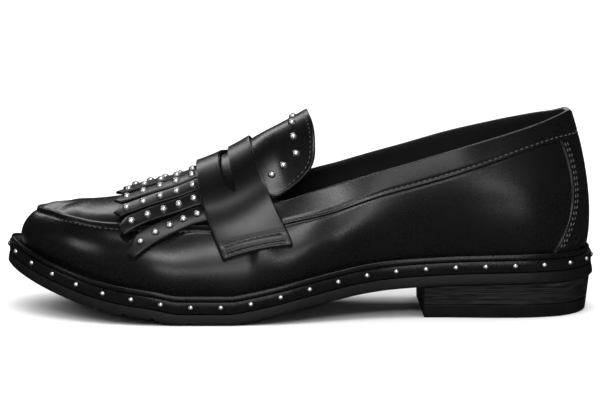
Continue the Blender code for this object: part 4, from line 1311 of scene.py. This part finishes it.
# Kiltie: seven strips under the strap, each with a point and five domes
kiltie = {
    "rows": 30, "columns": 7, "edgeRadius": 0.0006, "studDepth": 0.92, "studSink": 0.0001,
    "shingle": 0.00045,               # how far each strip tilts over the next
    "waver": 0.0003,                  # how unevenly the strips lie
    "root": 0.676,                    # where the strips part, and where each ends, shares of the length
    "ends": [0.775, 0.791, 0.801, 0.802, 0.801, 0.791, 0.777],
}
meeting = layers["underStrap"] * last["soleLength"]
layersTop = last["layerGap"] + max(layers["fringeThick"], layers["tongueThick"])


def stripPlace(strip, along, across):
    # Place and lift on the instep; across is counted in strip pitches from the fringe's middle
    root, end = kiltie["root"] * last["soleLength"], kiltie["ends"][strip] * last["soleLength"]
    reach = np.clip((along - root) / (end - root), 0.0, 1.2)
    turned = reach ** 1.4
    pitch = layers["stripPitch"] * (1 + (layers["stripSplay"] - 1) * turned)
    around = layers["designCentre"] + layers["fringeDrift"] * turned + across * pitch
    seam = layers["seamAround"]
    overSeam = raised["apronRidge"] * smoothStep(seam - 0.007, seam, abs(around))
    return around, last["layerGap"] + overSeam + layers["fringeLift"] * reach ** 2


def makeKiltie():
    points, faces = [], []
    middle = (layers["stripCount"] - 1) / 2
    slit = layers["slitWidth"] / layers["stripPitch"] / 2
    half = layers["stripPitch"] / 2 - layers["slitWidth"] / 2
    v = edged(kiltie["columns"], 0.0007 / half)
    u = (edged(kiltie["rows"], 0.022) + 1) / 2
    for strip in range(layers["stripCount"]):
        end = kiltie["ends"][strip] * last["soleLength"] + layers["pointDepth"] * (1 - abs(v))[None, :]
        start = meeting + last["clearance"]
        along = start + (end - start) * u[:, None]
        across = strip - middle + v[None, :] * (0.5 - slit)
        around, lift = stripPlace(strip, along, np.broadcast_to(across, along.shape))
        reach = smoothStep(0.15, 1.0, u)[:, None]
        lift = lift - kiltie["shingle"] * v[None, :] * reach
        lift = lift + kiltie["waver"] * reach * math.sin(strip * 1.9)
        edge = np.minimum((end - along) * 0.8, along - start + 0.0004)
        edge = np.minimum(half * (1 - abs(v))[None, :], edge)
        more, quads, _ = slab(along, around, lift, layers["fringeThick"], edge, kiltie["edgeRadius"],
                              len(points))
        points += more.tolist()
        faces += quads
    makePiece("kiltieFringe", points, faces, [fringeSkin], ["kiltie"], None, 0.0, 60)


strapFront, strapBack = (
    tableCurve(strapSections, index, last["ballWidth"], last["soleLength"]) for index in (1, 2))


def makeKiltieStuds():
    seats, ups, names = [], [], []
    middle = (layers["stripCount"] - 1) / 2
    for strip in range(layers["stripCount"]):
        final = kiltie["ends"][strip] * last["soleLength"] - studs["tipToStud"]
        around = layers["designCentre"] + (strip - middle) * layers["stripPitch"]
        first = float(strapFront(around)) + studs["strapToStud"]
        for k in range(int(studs["fringeStuds"])):
            along = first + (final - first) * k / (studs["fringeStuds"] - 1)
            w, lift = stripPlace(strip, np.array(along), np.array(strip - middle))
            reach = float(smoothStep(0.15, 1.0, (along - meeting) / (final - meeting)))
            lift = lift + layers["fringeThick"] - kiltie["studSink"]
            lift = lift + kiltie["waver"] * reach * math.sin(strip * 1.9)
            seats.append(onInstep(along, w, lift))
            ups.append(onInstep(along, w, lift + 0.001) - seats[-1])
            names.append("kiltie_stud_%d_%d" % (strip + 1, k + 1))
    points, faces = domes(seats, ups, studs["studDiameter"], kiltie["studDepth"])
    makePiece("kiltieStuds", points, faces, [studMetal], names, None, 0.0, 50)


makeKiltie()
makeKiltieStuds()


# Strap across the instep, with its half-moon slot and the sewn boxes at both ends
strap = {
    "rows": 150, "columns": 34, "edgeRadius": 0.0006, "fairing": 25,
    "boxLow": 0.0016, "boxHigh": 0.0068, "boxSide": 0.0022, "boxDip": 0.00038,
    "endSkew": 0.0025,                # how far each end's corners lie off square
    "crownSpare": 0.0004,             # over the layers, at the middle of the band
    "sideSpare": 0.0008,              # and more at the layers' sides
    "slotHalf": 0.0230,               # half the slot's length, and its middle off the design's
    "slotShift": -0.0025,
    "slotPlace": 0.40,                # the slot's straight edge and its bow, shares of the band's width
    "slotBow": 0.19,
}
fringeHalf = layers["stripCount"] * layers["stripPitch"] / 2
tongueWidest = max(row[1] for row in tongueSections) * last["ballWidth"]
layersFrom = min(layers["designCentre"] - fringeHalf, layers["tongueCentre"] - tongueWidest)
layersTo = max(layers["designCentre"] + fringeHalf, layers["tongueCentre"] + tongueWidest)
strapStart, strapEnd = (strapSections[k][0] * last["ballWidth"] for k in (0, -1))


def strapLift(w):
    beyond = np.maximum(layersFrom - w, w - layersTo)
    fromMiddle = (w - layers["designCentre"]) / (layersTo - layersFrom) * 2
    riding = layersTop + strap["crownSpare"] + strap["sideSpare"] * np.minimum(fromMiddle ** 2, 1.0)
    side = layers["strapSideLift"] * 0.6 + raised["apronRidge"] * 0.4
    return last["layerGap"] + side + (riding - side) * (1 - smoothStep(-0.010, 0.020, beyond))


def strapPlace(w, u):
    # u runs from 0 at the back edge to 1 at the front edge
    front, back = strapFront(w), strapBack(w)
    return back + (front - back) * u


def strapSkew(u):
    # The ends are cut on the slant: the back corner hangs lower than the front one
    return strap["endSkew"] * (2 * u - 1)


strapU = (edged(strap["columns"], 0.045) + 1) / 2
strapV = (edged(strap["rows"], 0.012) + 1) / 2
strapLong = strapEnd - strapStart


def fairStrap(grid):
    # A leather band bends little across its width, and evenly along it
    basis = np.stack([np.ones_like(strapU), strapU, strapU ** 2], axis=1)
    grid = np.einsum("ij,rjk->rik", basis @ np.linalg.pinv(basis), grid)
    for _ in range(strap["fairing"]):
        grid[1:-1] = (grid[:-2] + 2 * grid[1:-1] + grid[2:]) / 4
    return grid


def layStrap():
    # Underside and normals of the band: strapV runs from the lateral end, strapU from the back edge
    skew = strapSkew(strapU)[None, :] * (1 - 2 * strapV)[:, None]
    around = (strapStart + strapLong * strapV)[:, None] + skew
    along = strapPlace(around, strapU[None, :])
    wide = strapFront(around) - strapBack(around)
    base = onInstep(along, around, strapLift(around))
    up = (onInstep(along, around, strapLift(around) + 0.001) - base) / 0.001
    return fairStrap(base), fairStrap(up), wide


strapBase, strapUps, strapWide = layStrap()


def onStrap(v, u, lift):
    rows = between(np.interp(v, strapV, np.arange(len(strapV))), len(strapV))
    columns = between(np.interp(u, strapU, np.arange(len(strapU))), len(strapU))
    up = lookUp(strapUps, rows, columns)
    return lookUp(strapBase, rows, columns) + up * np.asarray(lift)[..., None]


def makeStrap():
    ends = (np.minimum(strapV, 1 - strapV) * strapLong)[:, None]
    sides = np.minimum(strapU, 1 - strapU)[None, :] * strapWide
    fold = (np.exp(-((ends - strap["boxHigh"]) / 0.0008) ** 2)
            + np.exp(-((ends - strap["boxLow"]) / 0.0007) ** 2))
    base = strapBase - strapUps * (strap["boxDip"] * fold * (sides > strap["boxSide"] * 0.8))[..., None]
    points, faces, _ = sheet(base, strapUps, layers["strapThick"], np.minimum(sides, ends),
                             strap["edgeRadius"])
    piece = makePiece("saddleStrap", points, faces, [strapSkin], ["saddle_strap"], sharp=60)
    turn = np.linspace(0.02, math.pi - 0.02, 41)
    centre = layers["designCentre"] + strap["slotShift"] - strapStart
    v = (centre + strap["slotHalf"] * np.cos(turn)) / strapLong
    straight = np.full(len(turn), strap["slotPlace"])
    bowed = straight + strap["slotBow"] * np.sin(turn) ** 0.8
    rows = [onStrap(v, u, np.full(len(turn), lift)) for u, lift in
            ((straight, -0.0006), (bowed, -0.0006), (bowed, 0.0040), (straight, 0.0040))]
    count = len(turn)
    faces = [[r * count + k, r * count + k + 1, (r + 1) % 4 * count + k + 1, (r + 1) % 4 * count + k]
             for r in range(4) for k in range(count - 1)]
    faces += [[0, count, 2 * count, 3 * count],
              [4 * count - 1, 3 * count - 1, 2 * count - 1, count - 1]]
    mesh = bpy.data.meshes.new("slot")
    mesh.from_pydata(np.concatenate(rows).tolist(), [], faces)
    work = bmesh.new()
    work.from_mesh(mesh)
    bmesh.ops.triangulate(work, faces=work.faces)
    bmesh.ops.recalc_face_normals(work, faces=work.faces)
    work.to_mesh(mesh)
    work.free()
    cutBy(piece, mesh)


def strapLine(first, second):
    # A path on the strap's face between two (v, u) pairs
    v, u = (np.linspace(first[k], second[k], 60) for k in (0, 1))
    seat = onStrap(v, u, np.full(60, layers["strapThick"]))
    return seat, onStrap(v, u, np.full(60, layers["strapThick"] + 0.001)) - seat


def makeStrapStitches():
    rows = []
    low, high = strap["boxLow"] / strapLong, strap["boxHigh"] / strapLong
    for near, far in ((low, high), (1 - low, 1 - high)):
        for first, second in (((near, 0.09), (near, 0.93)), ((far, 0.09), (far, 0.93)),
                              ((near, 0.09), (far, 0.09)), ((near, 0.93), (far, 0.93))):
            rows.append((*strapLine(first, second), None))
    makeStitches("strapStitches", rows)


makeStrap()
makeStrapStitches()


# Tongue flap behind the strap
tongue = {
    "rows": 60, "columns": 48, "edgeRadius": 0.0007, "stitchIn": 0.0021,
    "reach": 0.4712,                  # the flap's end, share of the sole's length
    "crown": 0.0032,                  # a shallow dip in the end, and where and how wide it is
    "crownPlace": 0.2,
    "crownWidth": 0.35,
    "corner": 0.0200,                 # how far the corners are drawn in, and how tightly on each side
    "cornerPower": 9.0,
    "medialPower": 4.0,
    "skew": 0.0012,
}
tongueHalf = tableCurve(tongueSections[:4], 1, -1, last["ballWidth"])
tongueStand = tableCurve(tongueSections, 2, -1, last["quarterHeight"])
tongueStuds = [
    # along, around: five across the tongue's end and two down each side
    (0.504, -0.280), (0.508, -0.178), (0.510, -0.074), (0.508, 0.029), (0.504, 0.131),
    (0.526, -0.312), (0.548, -0.340), (0.526, 0.163), (0.548, 0.191),
]


def tongueEnd(v, inset=0.0):
    # Where the flap ends toward the heel, across its width
    crown = tongue["crown"] * np.exp(-((v - tongue["crownPlace"]) / tongue["crownWidth"]) ** 2)
    crown = crown - tongue["skew"] * smoothStep(0.3, 0.7, v)
    power = np.where(v > 0, tongue["medialPower"], tongue["cornerPower"])
    return tongue["reach"] * last["soleLength"] + inset + crown + tongue["corner"] * abs(v) ** power


def tonguePlace(along, v):
    share = along / last["soleLength"]
    half = tongueHalf(-share)
    lift = last["layerGap"] + tongueStand(-share) + layers["tongueEdgeLift"] * v ** 2
    return layers["tongueCentre"] + v * half, lift


def makeTongue():
    v = edged(tongue["columns"], 0.03)
    u = (edged(tongue["rows"], 0.03) + 1) / 2
    front = tongueSections[0][0] * last["soleLength"] - last["clearance"]
    end = tongueEnd(v)[None, :]
    along = front + (end - front) * u[:, None]
    around, lift = tonguePlace(along, np.broadcast_to(v[None, :], along.shape))
    half = tongueHalf(-along / last["soleLength"])
    edge = np.minimum((along - end) * 0.9, front - along + 0.0004)
    edge = np.maximum(np.minimum(half * (1 - abs(v))[None, :], edge), 0)
    points, faces, upperCount = slab(along, around, lift, layers["tongueThick"], edge,
                                     tongue["edgeRadius"])
    marks = [0] * upperCount + [1] * upperCount + [0] * (len(faces) - 2 * upperCount)
    makePiece("tongueFlap", points, faces, [calfSkin, liningSkin], ["tongue"], marks, sharp=60)


def makeTongueTrim():
    v = np.linspace(-0.955, 0.955, 200)
    along = np.minimum(tongueEnd(v / 0.955 * 0.995, tongue["stitchIn"]), 0.560 * last["soleLength"])
    w, lift = tonguePlace(along, v)
    seat = onInstep(along, w, lift + layers["tongueThick"] - 0.00012)
    up = onInstep(along, w, lift + layers["tongueThick"] + 0.001) - seat
    makeStitches("tongueStitches", [(seat, up, {"length": 0.0017, "gap": 0.0009, "radius": 0.00027})])
    seats, ups, names = [], [], []
    for k, (share, around) in enumerate(tongueStuds):
        along = share * last["soleLength"]
        v = (around * last["ballWidth"] - layers["tongueCentre"]) / float(tongueHalf(-share))
        w, lift = tonguePlace(along, v)
        seats.append(onInstep(along, w, lift + layers["tongueThick"] - kiltie["studSink"]))
        ups.append(onInstep(along, w, lift + layers["tongueThick"] + 0.001) - seats[-1])
        names.append("tongue_stud_%d" % (k + 1))
    points, faces = domes(seats, ups, studs["studDiameter"], kiltie["studDepth"])
    makePiece("tongueStuds", points, faces, [studMetal], names, None, 0.0, 50)


makeTongue()
makeTongueTrim()
print("loafer: strap, fringe and tongue are sewn on")


# Studio: pale floor, soft light and the photograph's view
studio = {
    "distance": 1.35, "elevation": 9.0, "target": (0.0, 0.0, 0.050), "lens": 175.0,
    "floor": (0.86, 0.86, 0.86), "sky": 0.016, "backdrop": 1.05,
    "floorWash": 4.2, "floorSpread": 120,
    "lights": [
        # name, place, size, power
        ("overhead", (0.05, -0.32, 0.98), (0.80, 0.16), 2.5),
        ("front", (-0.02, -1.00, 0.69), (0.50, 0.17), 2.2),
        ("lowFront", (0.12, -1.20, 0.30), (0.60, 0.10), 1.1),
        ("toeSide", (-0.95, -0.55, 0.50), (0.25, 0.30), 0.7),
        ("behind", (-0.15, 0.95, 0.72), (1.30, 0.25), 2.8),
    ],
    "studBox": ((0.05, -0.90, 0.85), (0.40, 0.28), 3.0),
    "studWash": 0.90, "studSpread": 150, "studTilt": 50,
}


def addLamp(name, kind, power, size, place=None, tilt=0.0, only=()):
    # A softbox aims at the shoe, and its size is its two sides; a sun's is its spread in degrees
    data = bpy.data.lights.new(name, kind)
    data.energy = power
    lamp = bpy.data.objects.new(name, data)
    if kind == "AREA":
        data.shape = "RECTANGLE"
        data.size, data.size_y = size
        lamp.location = place
        aim = Vector(studio["target"]) - Vector(place)
        lamp.rotation_euler = aim.to_track_quat("-Z", "Y").to_euler()
    else:
        data.angle = math.radians(size)
        lamp.rotation_euler = (tilt, 0.0, 0.0)
    if only:
        lit = bpy.data.collections.new(name + "Only")
        for piece in only:
            lit.objects.link(piece)
        lamp.light_linking.receiver_collection = lit
    bpy.context.scene.collection.objects.link(lamp)


def makeStudio():
    mesh = bpy.data.meshes.new("paleFloor")
    mesh.from_pydata([(-6, -6, 0), (6, -6, 0), (6, 6, 0), (-6, 6, 0)], [], [(0, 1, 2, 3)])
    floor = bpy.data.objects.new("paleFloor", mesh)
    look = Finish("paleFloor", {"Specular IOR Level": 0.1, "Roughness": 0.85})
    cloud = look.noise(3.0, 2.0)
    look.feed("Base Color", look.blend(cloud, studio["floor"], studio["floor"]))
    mesh.materials.append(look.material)
    bpy.context.scene.collection.objects.link(floor)
    floor.visible_glossy = False
    # A wide overhead wash that falls on the floor alone keeps it white
    addLamp("floorWash", "SUN", studio["floorWash"], studio["floorSpread"], only=[floor])
    world = bpy.data.worlds.new("studio")
    world.use_nodes = True
    bpy.context.scene.world = world
    nodes, links = world.node_tree.nodes, world.node_tree.links
    seen = nodes.new("ShaderNodeLightPath")
    strength = nodes.new("ShaderNodeMapRange")
    strength.inputs[3].default_value = studio["sky"]
    strength.inputs[4].default_value = studio["backdrop"]
    links.new(seen.outputs["Is Camera Ray"], strength.inputs[0])
    links.new(strength.outputs[0], nodes["Background"].inputs["Strength"])
    nodes["Background"].inputs["Color"].default_value = (1.0, 1.0, 1.0, 1.0)
    for name, place, size, power in studio["lights"]:
        addLamp(name, "AREA", power, size, place)
    # A softbox and a wash that only the polished domes see, so that each shows a full bright cap
    polished = [bpy.data.objects[name] for name in ("bandStuds", "kiltieStuds", "tongueStuds")]
    place, size, power = studio["studBox"]
    addLamp("studBox", "AREA", power, size, place, only=polished)
    tilt = math.radians(studio["studTilt"])
    addLamp("studWash", "SUN", studio["studWash"], studio["studSpread"], tilt=tilt, only=polished)
    camera = bpy.data.objects.new("camera", bpy.data.cameras.new("camera"))
    camera.data.lens = studio["lens"]
    camera.data.sensor_width = 36.0
    rise = math.radians(studio["elevation"])
    away = Vector((0.0, -math.cos(rise), math.sin(rise))) * studio["distance"]
    camera.location = Vector(studio["target"]) + away
    camera.rotation_euler = (-away).to_track_quat("-Z", "Y").to_euler()
    bpy.context.scene.collection.objects.link(camera)
    bpy.context.scene.camera = camera
    bpy.context.scene.view_settings.view_transform = "Standard"


makeStudio()
print("loafer: the studio is lit")
